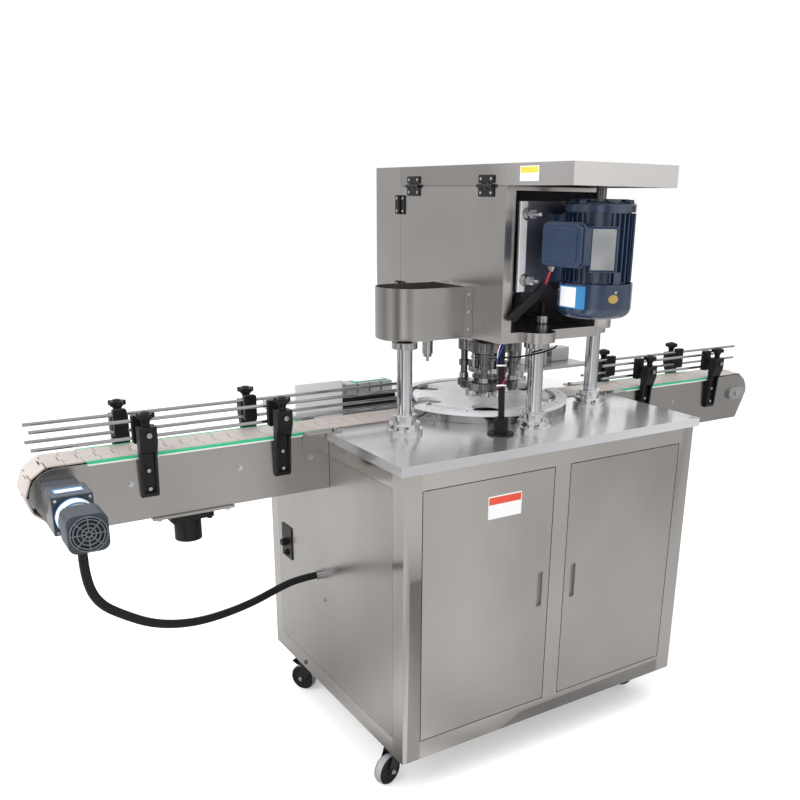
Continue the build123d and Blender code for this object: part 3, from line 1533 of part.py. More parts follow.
with BuildPart() as terminal_box:
    with BuildSketch(Plane.YZ.offset(motor_x - fin_r - 1)):
        with Locations(((tb_y0 + tb_y1) / 2, (tb_z0 + tb_z1) / 2)):
            RectangleRounded(tb_y1 - tb_y0, tb_z1 - tb_z0, 8)
    extrude(amount=-(motor_x - fin_r - 1 - tb_x0))
    fillet(terminal_box.faces().sort_by(Axis.X)[0].edges(), 5.0)
with BuildPart() as fan_cover:
    with BuildSketch(Plane.XY.offset(fan_cover_z0)):
        with Locations((motor_x, motor_y)):
            Circle(fan_cover_r)
    extrude(amount=fan_cover_z1 - fan_cover_z0)
    fillet(fan_cover.edges().filter_by(GeomType.CIRCLE).sort_by(Axis.Z)[0], 26.0)
    with BuildSketch(Plane.XY.offset(fan_cover_z0 + 30)):
        with Locations((motor_x, motor_y)):
            Circle(fan_cover_r - 2)
    extrude(amount=fan_cover_z1 - fan_cover_z0, mode=Mode.SUBTRACT)
    with BuildSketch(Plane.XY.offset(fan_cover_z0 + 3)):
        with Locations((motor_x, motor_y)):
            Circle(fan_cover_r - 28)
    extrude(amount=30, mode=Mode.SUBTRACT)
    with BuildSketch(Plane.XY.offset(fan_cover_z0 - 1)):
        with Locations((motor_x, motor_y)):
            for ring_r, n in ((18, 8), (30, 14), (42, 20)):
                with PolarLocations(ring_r, n):
                    SlotOverall(10, 4.5, rotation=90)
    extrude(amount=6, mode=Mode.SUBTRACT)
save(Compound(children=[motor_body.part, terminal_box.part, fan_cover.part]), "motor_body")

with BuildPart() as motor_rotor:
    with BuildSketch(Plane.XY.offset(fan_cover_z0 + 12)):
        with Locations((motor_x, motor_y)):
            Circle(motor_shaft_r)
    extrude(amount=pulley_z0 + pulley_t - fan_cover_z0 - 10)
    with BuildSketch(Plane.XY.offset(fan_cover_z0 + 36)):
        with Locations((motor_x, motor_y)):
            Circle(24)
            with PolarLocations(40, 6):
                Rectangle(44, 3)
    extrude(amount=26)
    with BuildSketch(Plane.XY.offset(pulley_z0)):
        with Locations((motor_x, motor_y)):
            Circle(motor_pulley_r)
    extrude(amount=pulley_t)
    with BuildSketch(Plane.XY.offset(pulley_z0 + (pulley_t - belt_w) / 2)):
        with Locations((motor_x, motor_y)):
            Circle(motor_pulley_r + 1)
            Circle(motor_pulley_r - 6, mode=Mode.SUBTRACT)
    extrude(amount=belt_w, mode=Mode.SUBTRACT)
save(motor_rotor.part, "motor_rotor")

# Star wheel on its shaft, which hangs from the head base and ends in a gear
star_z1 = table_z + guide_h
star_z0 = star_z1 - star_t
star_top = base_z1 + 70.0
with BuildPart() as star_wheel:
    with BuildSketch(Plane.XY.offset(star_z0)):
        with Locations((star_x, star_y)):
            Circle(star_pitch_r + star_rim)
            with PolarLocations(star_pitch_r, star_count, star_turn):
                Circle(can_r + 1.5, mode=Mode.SUBTRACT)
            with PolarLocations(star_pitch_r + 25, star_count, star_turn):
                Rectangle(50, 2 * can_r - 4, mode=Mode.SUBTRACT)
    extrude(amount=star_t)
    with BuildSketch(Plane.XY.offset(star_z1)):
        with Locations((star_x, star_y)):
            Circle(32.0)
    extrude(amount=16)
    with BuildSketch(Plane.XY.offset(star_z1)):
        with Locations((star_x, star_y)):
            Circle(star_shaft_r)
    extrude(amount=star_top - star_z1)
    with BuildSketch(Plane.XY.offset(star_top - 16)):
        with Locations((star_x, star_y)):
            Circle(44.0)
    extrude(amount=16)
save(star_wheel.part, "star_wheel")

# Round guide about the star wheel: a sheet wall with a plastic ring on top, in a
# near and a far part with the conveyor's lane between them
lane_near = conv_y - can_r - 3.0
lane_far = conv_y + can_r + 3.0
guide_z0 = table_z + 3


def guide_half(near):
    y_cut = lane_near if near else lane_far
    away = 500.0
    yc = y_cut - away / 2 if near else y_cut + away / 2
    ring_z = table_z + guide_h - guide_top_t
    with BuildPart() as wall:
        with BuildSketch(Plane.XY.offset(guide_z0)):
            with Locations((guide_x, guide_y)):
                Circle(guide_r)
                Circle(guide_r - guide_wall, mode=Mode.SUBTRACT)
            with Locations((guide_x, yc)):
                Rectangle(2 * guide_r + 10, away, mode=Mode.INTERSECT)
        extrude(amount=ring_z - guide_z0)
        if near:
            for ang in slot_angles:
                slot_plane = Plane(
                    origin=(guide_x, guide_y, 0),
                    x_dir=(-sin(radians(ang)), cos(radians(ang)), 0),
                    z_dir=(cos(radians(ang)), sin(radians(ang)), 0),
                )
                with BuildSketch(slot_plane.offset(guide_r - 8)):
                    with Locations((-4.5, guide_z0 + 9), (4.5, guide_z0 + 9)):
                        SlotOverall(12, 4.4, rotation=90)
                extrude(amount=16, mode=Mode.SUBTRACT)
    with BuildPart() as top:
        with BuildSketch(Plane.XY.offset(ring_z)):
            with Locations((guide_x, guide_y)):
                Circle(guide_r + 0.5)
                Circle(star_pitch_r + can_r + star_gap, mode=Mode.SUBTRACT)
            with Locations((guide_x, yc)):
                Rectangle(2 * guide_r + 10, away, mode=Mode.INTERSECT)
        extrude(amount=guide_top_t)
    return wall.part, top.part


slot_angles = (203.0, 284.0)
near_wall, near_top = guide_half(True)
far_wall, far_top = guide_half(False)
# Floor of the can lane at the chain's level, and low feet that hold the wall up
floors = []
for near in (True, False):
    edge = near_face - slot_gap if near else far_face + slot_gap
    yc = edge - 250 if near else edge + 250
    with BuildPart() as floor_plate:
        with BuildSketch(Plane.XY.offset(table_z)):
            with Locations((guide_x, guide_y)):
                Circle(guide_r)
            with Locations((guide_x, yc)):
                Rectangle(2 * guide_r + 10, 500, mode=Mode.INTERSECT)
            if near:
                with Locations((head_x, head_y)):
                    Circle(lifter_r + lifter_gap, mode=Mode.SUBTRACT)
                # Clear of the column's foot
                with Locations(col_b, col_d):
                    Circle(foot_r + 1, mode=Mode.SUBTRACT)
        extrude(amount=chain_rise)
        with BuildSketch(Plane.XY.offset(table_z + chain_rise)):
            with Locations((guide_x, guide_y)):
                with PolarLocations(guide_r - guide_wall / 2, 8, 22.5):
                    Rectangle(guide_wall, 16)
            with Locations((guide_x, yc)):
                Rectangle(2 * guide_r + 10, 500, mode=Mode.INTERSECT)
        extrude(amount=guide_z0 - table_z - chain_rise)
    floors.append(floor_plate.part)
# Cup under the table that guides the can lifter
with BuildPart() as lifter_cup:
    with BuildSketch(Plane.XY.offset(table_z - 70)):
        with Locations((head_x, head_y)):
            Circle(42.0)
    extrude(amount=70 - table_sheet)
    with BuildSketch(Plane.XY.offset(table_z - 58)):
        with Locations((head_x, head_y)):
            Circle(lifter_r + lifter_gap)
    extrude(amount=70, mode=Mode.SUBTRACT)
    with BuildSketch(Plane.XY.offset(table_z - 71)):
        with Locations((head_x, head_y)):
            Circle(10.0 + running)
    extrude(amount=20, mode=Mode.SUBTRACT)
guide_parts = [near_wall, far_wall, near_top, far_top] + floors + [lifter_cup.part]
save(Compound(children=guide_parts), "can_guide")

# Can lifter under the seaming head
with BuildPart() as can_lifter:
    with BuildSketch(Plane.XY.offset(table_z - 6)):
        with Locations((head_x, head_y)):
            Circle(lifter_r)
    extrude(amount=6 + chain_rise)
    with BuildSketch(Plane.XY.offset(table_z - 96)):
        with Locations((head_x, head_y)):
            Circle(10.0)
    extrude(amount=92)
save(can_lifter.part, "can_lifter")

# Cable outlet on the table, and the conduit that rises from it into the head
with BuildPart() as cable_outlet:
    with BuildSketch(Plane.XY.offset(table_z)):
        with Locations((conduit_x, conduit_y)):
            Circle(33.0)
    extrude(amount=4)
    fillet(cable_outlet.edges().filter_by(GeomType.CIRCLE).sort_by(Axis.Z)[-1], 1.5)
    with BuildSketch(Plane.XY.offset(table_z + 4)):
        with Locations((conduit_x, conduit_y)):
            Circle(17.5)
    extrude(amount=36)
    with BuildSketch(Plane.XY.offset(table_z - 1)):
        with Locations((conduit_x, conduit_y)):
            Circle(conduit_r)
    extrude(amount=60, mode=Mode.SUBTRACT)
fittings = [control_plate.part, hose_gland.part, gland_nut.part, motor_gland.part, cable_outlet.part]
save(Compound(children=fittings), "fittings")
conduit_points = [
    (conduit_x, conduit_y, table_z + 6),
    (conduit_x, conduit_y, table_z + 82),
    (conduit_top[0], conduit_top[1], table_z + 162),
    (conduit_top[0], conduit_top[1], base_z1 + 8),
]
conduit_radii = arc_radii(conduit_points)
print("conduit radii", [round(r) for r in conduit_radii])
with BuildPart() as conduit:
    with BuildLine() as conduit_line:
        FilletPolyline(*conduit_points, radius=conduit_radii)
    with BuildSketch(Plane(origin=conduit_points[0], z_dir=conduit_line.wires()[0] % 0)):
        Circle(conduit_r)
    sweep()
conduit_volume = conduit.part.volume / (pi * conduit_r**2 * conduit_line.wires()[0].length)
print("conduit volume over section times length", round(conduit_volume, 5))
save(conduit.part, "cable_conduit")

# Lid feed: plate hung from the base, magazine rods, cylinder and pusher
feed_x0 = 114.0
feed_x1 = 400.0
feed_y0 = -4.0
feed_y1 = 150.0
feed_z = 930.0
feed_t = 8.0
feed_y = 80.0
stack_x = 176.0
with BuildPart() as feed_plate:
    with BuildSketch(Plane.XY.offset(feed_z)):
        with Locations(((feed_x0 + feed_x1) / 2, (feed_y0 + feed_y1) / 2)):
            Rectangle(feed_x1 - feed_x0, feed_y1 - feed_y0)
        with Locations((stack_x, feed_y)):
            Circle(can_r + 1, mode=Mode.SUBTRACT)
    extrude(amount=feed_t)
feed_pieces = [feed_plate.part]
for x, y in ((252, 20), (252, 138), (314, 138)):
    with BuildPart() as hanger:
        with BuildSketch(Plane.XY.offset(feed_z + feed_t)):
            with Locations((x, y)):
                Circle(6.0)
        extrude(amount=base_z0 - feed_z - feed_t)
    feed_pieces.append(hanger.part)
with BuildPart() as magazine:
    with BuildSketch(Plane.XY.offset(feed_z + feed_t)):
        with Locations((stack_x, feed_y)):
            with PolarLocations(can_r + 8, 4, 45):
                Circle(4.0)
    extrude(amount=95)
feed_pieces += list(magazine.part.solids())
with BuildPart() as feed_cylinder:
    with BuildSketch(Plane.YZ.offset(312)):
        with Locations((feed_y, feed_z + feed_t + 20)):
            RectangleRounded(40, 40, 3)
    extrude(amount=66)
    with BuildSketch(Plane.YZ.offset(311)):
        with Locations((feed_y, feed_z + feed_t + 20)):
            Circle(6.0 + running)
    extrude(amount=60, mode=Mode.SUBTRACT)
feed_pieces.append(feed_cylinder.part)
with BuildPart() as lid_pusher:
    with BuildSketch(Plane.YZ.offset(252)):
        with Locations((feed_y, feed_z + feed_t + 20)):
            Circle(6.0)
    extrude(amount=116)
    with BuildSketch(Plane.YZ.offset(242)):
        with Locations((feed_y, feed_z + feed_t + free_gap + 14)):
            Rectangle(34, 28)
    extrude(amount=10)
save(lid_pusher.part, "lid_pusher")

# Relay box and air valve row on the far side of the table
with BuildPart() as relay_box:
    with BuildSketch(Plane.XY.offset(table_z)):
        with Locations((-384, 206)):
            RectangleRounded(140, 68, 4)
    extrude(amount=78)
feed_pieces.append(relay_box.part)
with BuildPart() as valve_rail:
    with BuildSketch(Plane.XY.offset(table_z)):
        with Locations((-228, 206)):
            Rectangle(160, 56)
    extrude(amount=26)
feed_pieces.append(valve_rail.part)
for k in range(4):
    with BuildPart() as valve:
        with BuildSketch(Plane.XY.offset(table_z + 26)):
            with Locations((-228 - 54 + 36 * k, 206)):
                RectangleRounded(33, 54, 3)
        extrude(amount=36)
    feed_pieces.append(valve.part)
save(Compound(children=feed_pieces), "feed_unit")
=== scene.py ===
import json
from math import cos, pi, radians, sin

import bmesh
import bpy
from mathutils import Matrix, Vector


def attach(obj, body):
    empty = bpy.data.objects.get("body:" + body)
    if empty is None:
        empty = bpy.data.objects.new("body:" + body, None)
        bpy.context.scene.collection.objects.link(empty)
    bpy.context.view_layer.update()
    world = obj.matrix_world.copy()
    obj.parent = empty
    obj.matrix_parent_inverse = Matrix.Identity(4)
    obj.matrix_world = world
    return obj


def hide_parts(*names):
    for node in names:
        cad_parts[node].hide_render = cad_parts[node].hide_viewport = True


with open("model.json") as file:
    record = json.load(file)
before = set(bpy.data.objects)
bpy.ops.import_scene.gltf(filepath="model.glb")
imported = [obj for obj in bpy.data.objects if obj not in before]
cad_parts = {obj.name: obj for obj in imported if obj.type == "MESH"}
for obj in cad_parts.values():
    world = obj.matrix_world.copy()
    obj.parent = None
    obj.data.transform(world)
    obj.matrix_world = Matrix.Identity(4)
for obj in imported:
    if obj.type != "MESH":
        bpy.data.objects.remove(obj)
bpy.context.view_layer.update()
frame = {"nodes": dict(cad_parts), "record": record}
scene = bpy.context.scene
scene.view_settings.view_transform = "Standard"
MM = 0.001


def in_scene(name, data):
    """New object in the scene."""
    o = bpy.data.objects.new(name, data)
    scene.collection.objects.link(o)
    return o


# Camera: the photograph's place, turn and lens, as solved from the table's and the cabinet's edges
PHOTO_PX = 800.0
FOCAL_PX = 881.124
CENTRE_PX = (435.63, 488.709)
CAMERA_AT = (-1.3757, -1.9055, 1.3869)
CAMERA_RIGHT = Vector((0.83873991, -0.54431875, 0.01524679))
CAMERA_UP = Vector((0.15811793, 0.27024603, 0.9497188))
CAMERA_BACK = Vector((-0.52107014, -0.79415627, 0.31273268))
camera_data = bpy.data.cameras.new("camera")
camera = in_scene("camera", camera_data)
scene.camera = camera
camera_turn = Matrix((CAMERA_RIGHT, CAMERA_UP, CAMERA_BACK)).transposed()
camera.matrix_world = Matrix.Translation(CAMERA_AT) @ camera_turn.to_4x4()
camera_data.sensor_fit = "HORIZONTAL"
camera_data.sensor_width = 36.0
camera_data.lens = FOCAL_PX * camera_data.sensor_width / PHOTO_PX
camera_data.shift_x = (PHOTO_PX / 2 - CENTRE_PX[0]) / PHOTO_PX
camera_data.shift_y = (CENTRE_PX[1] - PHOTO_PX / 2) / PHOTO_PX
camera_data.clip_start = 0.05
camera_data.clip_end = 60.0


# Materials
def new_material(name):
    """Material with its tree and its shader node."""
    m = bpy.data.materials.new(name)
    m.use_nodes = True
    nodes = m.node_tree.nodes
    return m, nodes, m.node_tree.links, nodes["Principled BSDF"]


def stretched_noise(nodes, links, scale, stretch, detail=3.0):
    """Noise on object coordinates, drawn out along the axes where stretch is small."""
    place = nodes.new("ShaderNodeTexCoord")
    mapping = nodes.new("ShaderNodeMapping")
    mapping.inputs["Scale"].default_value = stretch
    noise = nodes.new("ShaderNodeTexNoise")
    noise.inputs["Scale"].default_value = scale
    noise.inputs["Detail"].default_value = detail
    links.new(place.outputs["Object"], mapping.inputs["Vector"])
    links.new(mapping.outputs["Vector"], noise.inputs["Vector"])
    return noise.outputs["Fac"]


def spread(nodes, links, value, low, high, from_low=0.3, from_high=0.7):
    """A value between low and high that follows a pattern."""
    ramp = nodes.new("ShaderNodeMapRange")
    ramp.inputs["From Min"].default_value = from_low
    ramp.inputs["From Max"].default_value = from_high
    ramp.inputs["To Min"].default_value = low
    ramp.inputs["To Max"].default_value = high
    links.new(value, ramp.inputs["Value"])
    return ramp.outputs["Result"]


def maths(nodes, links, operation, *values):
    """Result of one sum on links and plain numbers."""
    node = nodes.new("ShaderNodeMath")
    node.operation = operation
    for k, value in enumerate(values):
        if isinstance(value, float):
            node.inputs[k].default_value = value
        else:
            links.new(value, node.inputs[k])
    return node.outputs[0]


def tint(nodes, links, share, a, b):
    """Colour from a to b as the share goes from 0 to 1; each is a link or three numbers."""
    mix = nodes.new("ShaderNodeMix")
    mix.data_type = "RGBA"
    for socket, colour in (("A", a), ("B", b)):
        if isinstance(colour, tuple):
            mix.inputs[socket].default_value = (*colour, 1.0)
        else:
            links.new(colour, mix.inputs[socket])
    links.new(share, mix.inputs["Factor"])
    return mix.outputs["Result"]


def split_up(nodes, links, vector):
    """Outputs X, Y and Z of a vector."""
    split = nodes.new("ShaderNodeSeparateXYZ")
    links.new(vector, split.inputs["Vector"])
    return split.outputs


def bump(nodes, links, shader, value, strength, distance):
    """Adds relief to a shader, on top of any that it has."""
    node = nodes.new("ShaderNodeBump")
    node.inputs["Strength"].default_value = strength
    node.inputs["Distance"].default_value = distance
    links.new(value, node.inputs["Height"])
    if shader.inputs["Normal"].is_linked:
        links.new(shader.inputs["Normal"].links[0].from_socket, node.inputs["Normal"])
    links.new(node.outputs["Normal"], shader.inputs["Normal"])


def rise_along(nodes, links, tone, axis, start, end):
    """Raises a tone from start to end along an axis, in metres: a painted sheen, the sheet painted
    lighter towards one end as light falls on it.
    """
    place = nodes.new("ShaderNodeTexCoord")
    along = split_up(nodes, links, place.outputs["Object"])[axis]
    share = spread(nodes, links, along, 0.0, 0.75, start, end)
    return maths(nodes, links, "MULTIPLY_ADD", tone, 0.25, share)


def sheet_steel(name, dark, light, rough, grain, streak=0.03, lift=None, metal=1.0):
    """Brushed sheet: hair-fine grain along one way and slow clouds of tone; lift, if given, adds a
    painted sheen along an axis.
    """
    m, nodes, links, shader = new_material(name)
    shader.inputs["Metallic"].default_value = metal
    fine = stretched_noise(nodes, links, 1.0, grain, 2.0)
    slow = stretched_noise(nodes, links, 2.6, (1.0, 1.0, 0.8), 2.0)
    both = maths(nodes, links, "MULTIPLY_ADD", fine, 0.35, slow)
    tone = spread(nodes, links, both, 0.0, 1.0, 0.35, 1.0)
    # Painted sheen: the tone rises along lift's axis
    if lift:
        tone = rise_along(nodes, links, tone, *lift)
    links.new(tint(nodes, links, tone, dark, light), shader.inputs["Base Color"])
    roughness = spread(nodes, links, slow, rough - streak, rough + streak, 0.2, 0.8)
    links.new(roughness, shader.inputs["Roughness"])
    bump(nodes, links, shader, fine, 0.04, 0.0003)
    return m


def painted(name, colour, rough, flecks=0.12, coat=0.0, grain=900.0, metal=0.0, lift=1.25, shine=0.5):
    """Paint or moulded plastic with a fine skin texture and a slight change of tone."""
    m, nodes, links, shader = new_material(name)
    shader.inputs["Metallic"].default_value = metal
    shader.inputs["Specular IOR Level"].default_value = shine
    shader.inputs["Coat Weight"].default_value = coat
    shader.inputs["Coat Roughness"].default_value = 0.08
    slow = stretched_noise(nodes, links, 14.0, (1.0, 1.0, 1.0), 3.0)
    fine = stretched_noise(nodes, links, grain, (1.0, 1.0, 1.0), 2.0)
    light = tuple(min(1.0, c * lift) for c in colour)
    tone = spread(nodes, links, slow, 0.0, 1.0)
    links.new(tint(nodes, links, tone, colour, light), shader.inputs["Base Color"])
    links.new(spread(nodes, links, slow, rough - 0.05, rough + 0.06), shader.inputs["Roughness"])
    bump(nodes, links, shader, fine, flecks, 0.0002)
    return m


# Grain: small numbers run along the brushing
ALONG_X = (9.0, 1500.0, 1500.0)
ALONG_Z = (1500.0, 1500.0, 9.0)
ALONG_Y = (900.0, 9.0, 1500.0)
ALONG_X_SOFT = (9.0, 900.0, 900.0)
ALONG_Y_SOFT = (500.0, 20.0, 500.0)
TURNED = (60.0, 60.0, 900.0)
TURNED_FINE = (90.0, 90.0, 900.0)
EVEN = (300.0, 300.0, 300.0)
EVEN_COARSE = (200.0, 200.0, 200.0)

stainless = sheet_steel("brushed stainless", (0.41, 0.388, 0.36), (0.56, 0.538, 0.51), 0.29, ALONG_Z)
stainless_flat = sheet_steel(
    "brushed stainless along the belt", (0.35, 0.332, 0.312), (0.46, 0.442, 0.425), 0.25, ALONG_X
)
hood_steel = sheet_steel("hood sheet", (0.49, 0.466, 0.446), (0.62, 0.596, 0.576), 0.27, ALONG_Y)
# Table sheet with a painted sheen, painted lighter towards +X
table_steel = sheet_steel(
    "table sheet", (0.56, 0.56, 0.565), (0.96, 0.96, 0.965), 0.18, ALONG_X_SOFT,
    lift=("X", -0.20, 0.36), metal=0.84,
)
polished = sheet_steel("polished steel", (0.56, 0.56, 0.57), (0.70, 0.70, 0.71), 0.06, EVEN)
bright = sheet_steel("turned steel", (0.42, 0.42, 0.42), (0.60, 0.60, 0.60), 0.14, TURNED)
foot_steel = sheet_steel("turned foot", (0.66, 0.66, 0.665), (0.80, 0.80, 0.805), 0.20, TURNED)
rail_steel = sheet_steel("rail rod", (0.34, 0.34, 0.345), (0.44, 0.44, 0.445), 0.11, EVEN)
# Darker copy of the hood sheet for the curved guard: painted shade
guard_steel_painted_shade = sheet_steel("guard sheet", (0.38, 0.36, 0.34), (0.52, 0.50, 0.48), 0.25, ALONG_Y)
# Lid sheet with a painted sheen, painted lighter towards its near end
lid_steel = sheet_steel(
    "lid sheet", (0.44, 0.418, 0.40), (0.80, 0.775, 0.755), 0.26, ALONG_Y, lift=("Y", -0.16, -0.30)
)
frame_steel = sheet_steel("frame sheet", (0.44, 0.418, 0.39), (0.60, 0.578, 0.55), 0.17, ALONG_X)
machine_steel = sheet_steel(
    "dark machined steel", (0.12, 0.116, 0.112), (0.28, 0.27, 0.265), 0.20, TURNED_FINE
)
# Darker, bluish copy of sheet steel: painted shade inside the box and on the motor plate's face
painted_shade_sheet = sheet_steel("dark inner sheet", (0.34, 0.34, 0.40), (0.46, 0.46, 0.53), 0.46, ALONG_X_SOFT)
zinc = sheet_steel("zinc plate", (0.50, 0.50, 0.51), (0.66, 0.66, 0.67), 0.24, EVEN_COARSE)
aluminium = sheet_steel("anodised aluminium", (0.42, 0.42, 0.42), (0.55, 0.55, 0.55), 0.36, ALONG_Y_SOFT)
brass = sheet_steel("brass plate", (0.62, 0.44, 0.14), (0.78, 0.58, 0.24), 0.28, EVEN)
black_metal = painted("black coated metal", (0.010, 0.010, 0.011), 0.34, 0.10, shine=0.3)
black_plastic = painted("black moulded plastic", (0.008, 0.008, 0.009), 0.38, 0.22, shine=0.25)
black_rubber = painted("black rubber", (0.007, 0.007, 0.008), 0.50, 0.30, shine=0.25)
wheel_black = painted("black wheel", (0.008, 0.008, 0.009), 0.42, 0.15, shine=0.25)
chain_plastic = painted("chain link plastic", (0.46, 0.412, 0.385), 0.46, 0.15, lift=1.1)
white_plastic = painted("white plastic sheet", (0.76, 0.765, 0.78), 0.30, 0.08, 0.1, 500.0, lift=1.06)
tread_grey = painted("grey wheel tread", (0.30, 0.31, 0.325), 0.50, 0.20)
gear_paint = painted("gear motor paint", (0.024, 0.032, 0.045), 0.28, 0.14, 0.3, shine=0.4)
gear_cap = painted("gear motor end cap", (0.030, 0.038, 0.050), 0.36, 0.20, shine=0.4)
gear_rib = painted("gear motor vent ribs", (0.095, 0.11, 0.125), 0.40, 0.10, shine=0.4)
motor_paint = painted("motor paint", (0.009, 0.023, 0.056), 0.17, 0.22, 0.8, 260.0, shine=0.7)
motor_cover = painted("motor cover paint", (0.008, 0.021, 0.053), 0.15, 0.10, 0.8, 180.0, shine=0.7)
plate_white = painted("blank plate", (0.80, 0.80, 0.79), 0.35, 0.04, 0.2, 400.0, lift=1.03)
plate_blue = painted("blank blue plate", (0.02, 0.16, 0.36), 0.30, 0.05, 0.3)
plate_grey = painted("blank grey plate", (0.42, 0.43, 0.44), 0.32, 0.05, 0.0, 600.0, metal=0.8)
tie_white = painted("white tie", (0.78, 0.78, 0.76), 0.40, 0.10)
# Pale strip by the motor plate's edge: painted highlight
painted_highlight_edge = painted("pale plate edge", (0.60, 0.60, 0.62), 0.34, 0.10)
plate_orange = painted("orange band", (0.62, 0.06, 0.03), 0.35, 0.04)
plate_yellow = painted("yellow band", (0.78, 0.50, 0.05), 0.35, 0.04)
wire_red = painted("red wire", (0.50, 0.02, 0.03), 0.40, 0.05)
wire_blue = painted("blue wire", (0.03, 0.06, 0.40), 0.40, 0.05)


LIP_Z = 0.8425


def strip_material():
    """Green strip that is white below the lip's height."""
    m, nodes, links, shader = new_material("wear strip")
    place = nodes.new("ShaderNodeTexCoord")
    height = split_up(nodes, links, place.outputs["Object"])["Z"]
    above = maths(nodes, links, "GREATER_THAN", height, LIP_Z)
    colour = tint(nodes, links, above, (0.72, 0.74, 0.72), (0.015, 0.46, 0.20))
    links.new(colour, shader.inputs["Base Color"])
    fine = stretched_noise(nodes, links, 1.0, (20.0, 500.0, 500.0))
    links.new(spread(nodes, links, fine, 0.34, 0.46), shader.inputs["Roughness"])
    bump(nodes, links, shader, fine, 0.08, 0.0003)
    return m


strip_green = strip_material()


# Shapes and pieces, their sizes in millimetres unless a comment says metres.
# A face of LARGE_FACE square metres or more is flat, and points within MERGE metres are one.
LARGE_FACE = 3e-4
MERGE = 2e-6
HERE = Matrix()
UP, DOWN = (0, 0, 1), (0, 0, -1)
NEAR, FAR, LEFT = (0, -1, 0), (0, 1, 0), (-1, 0, 0)


def finish_mesh(me, angle=20.0):
    """Large faces flat, small ones smooth up to an angle, with no normals left from the source."""
    stale = me.attributes.get("custom_normal")
    if stale:
        me.attributes.remove(stale)
    me.polygons.foreach_set("use_smooth", [p.area < LARGE_FACE for p in me.polygons])
    me.set_sharp_from_angle(angle=radians(angle))
    me.update()


def add(name, me, body, *materials, smooth=20.0):
    """Puts a mesh into the scene as a piece that rides on a body."""
    for m in materials:
        if m.name not in [k.name for k in me.materials if k]:
            me.materials.append(m)
    finish_mesh(me, smooth)
    o = in_scene(name, me)
    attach(o, body)
    return o


def applied(o, name):
    """The object's mesh with its modifiers carried out, as a plain mesh."""
    bpy.context.view_layer.update()
    got = bpy.data.meshes.new_from_object(o.evaluated_get(bpy.context.evaluated_depsgraph_get()))
    got.name = name
    return got


def bevelled(me, width, segments=2, angle=38.0):
    """The mesh with its sharp edges rounded, width in metres."""
    o = in_scene("shape in work", me)
    mod = o.modifiers.new("edges", "BEVEL")
    mod.width = width
    mod.segments = segments
    mod.limit_method = "ANGLE"
    mod.angle_limit = radians(angle)
    mod.use_clamp_overlap = True
    got = applied(o, me.name + " edged")
    bpy.data.objects.remove(o)
    return got


def islands(bm):
    """Faces of each separate solid."""
    seen = set()
    for start in bm.faces:
        if start.index in seen:
            continue
        group = []
        stack = [start]
        seen.add(start.index)
        while stack:
            f = stack.pop()
            group.append(f)
            for e in f.edges:
                for g in e.link_faces:
                    if g.index not in seen:
                        seen.add(g.index)
                        stack.append(g)
        yield group


def corners(group):
    """Lowest and highest corner of a group of faces, in millimetres."""
    axes = list(zip(*(v.co for f in group for v in f.verts)))
    return Vector([min(a) for a in axes]) / MM, Vector([max(a) for a in axes]) / MM


def dress(node, materials, choose=None, edge=0.0008, by_face=False, leave_out=None):
    """Stands in for a node: its solids with soft edges and a material for each solid or face.

    choose gives the material's number from a solid's two corners or, by face, from the
    face's centre and normal. leave_out is true for a solid that another piece stands for.
    edge is the rounding's width in metres.
    """
    me = bpy.data.meshes.new(node + " shape")
    for m in materials:
        me.materials.append(m)
    bm = bmesh.new()
    bm.from_mesh(frame["nodes"][node].data)
    bmesh.ops.remove_doubles(bm, verts=bm.verts, dist=MERGE)
    bmesh.ops.dissolve_limit(bm, angle_limit=radians(0.6), verts=bm.verts, edges=bm.edges)
    bm.faces.index_update()
    if leave_out:
        gone = [group for group in islands(bm) if leave_out(*corners(group))]
        bmesh.ops.delete(bm, geom=[f for group in gone for f in group], context="FACES")
        bm.faces.index_update()
    if by_face:
        for f in bm.faces:
            f.material_index = choose(f.calc_center_median() / MM, f.normal)
    elif choose:
        for group in islands(bm):
            which = choose(*corners(group))
            for f in group:
                f.material_index = which
    bm.to_mesh(me)
    bm.free()
    if edge:
        me = bevelled(me, edge)
    bodies = frame["record"]["behaviour"]["bodies"]
    body = next(b for b, members in bodies.items() if node in members)
    o = add(node + "_dressed", me, body)
    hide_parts(node)
    return o


def round_row(bm, r, z, steps):
    """Vertices of one circle about Z, or the single one on the axis."""
    if r < 1e-6:
        return [bm.verts.new((0, 0, z * MM))]
    angles = [2 * pi * k / steps for k in range(steps)]
    return [bm.verts.new((r * MM * cos(a), r * MM * sin(a), z * MM)) for a in angles]


def lathe(profile, steps=32):
    """Closed turned shape about Z from radius and height pairs."""
    bm = bmesh.new()
    rows = [round_row(bm, r, z, steps) for r, z in profile]
    for a, b in zip(rows, rows[1:]):
        for k in range(steps):
            k2 = (k + 1) % steps
            if len(a) == 1 and len(b) > 1:
                bm.faces.new((a[0], b[k2], b[k]))
            elif len(b) == 1 and len(a) > 1:
                bm.faces.new((a[k], a[k2], b[0]))
            elif len(a) > 1:
                bm.faces.new((a[k], a[k2], b[k2], b[k]))
    for row in (rows[0], rows[-1]):
        if len(row) > 1:
            bm.faces.new(row)
    bmesh.ops.recalc_face_normals(bm, faces=bm.faces)
    return bm


def cylinder(r, z0, z1, steps):
    """Round bar about Z."""
    return lathe(((0, z0), (r, z0), (r, z1), (0, z1)), steps)


def prism(points, height, z=0.0):
    """Upright block from an outline."""
    bm = bmesh.new()
    low = [bm.verts.new((x * MM, y * MM, z * MM)) for x, y in points]
    high = [bm.verts.new((x * MM, y * MM, (z + height) * MM)) for x, y in points]
    bm.faces.new(list(reversed(low)))
    bm.faces.new(high)
    n = len(points)
    for k in range(n):
        bm.faces.new((low[k], low[(k + 1) % n], high[(k + 1) % n], high[k]))
    bmesh.ops.recalc_face_normals(bm, faces=bm.faces)
    return bm


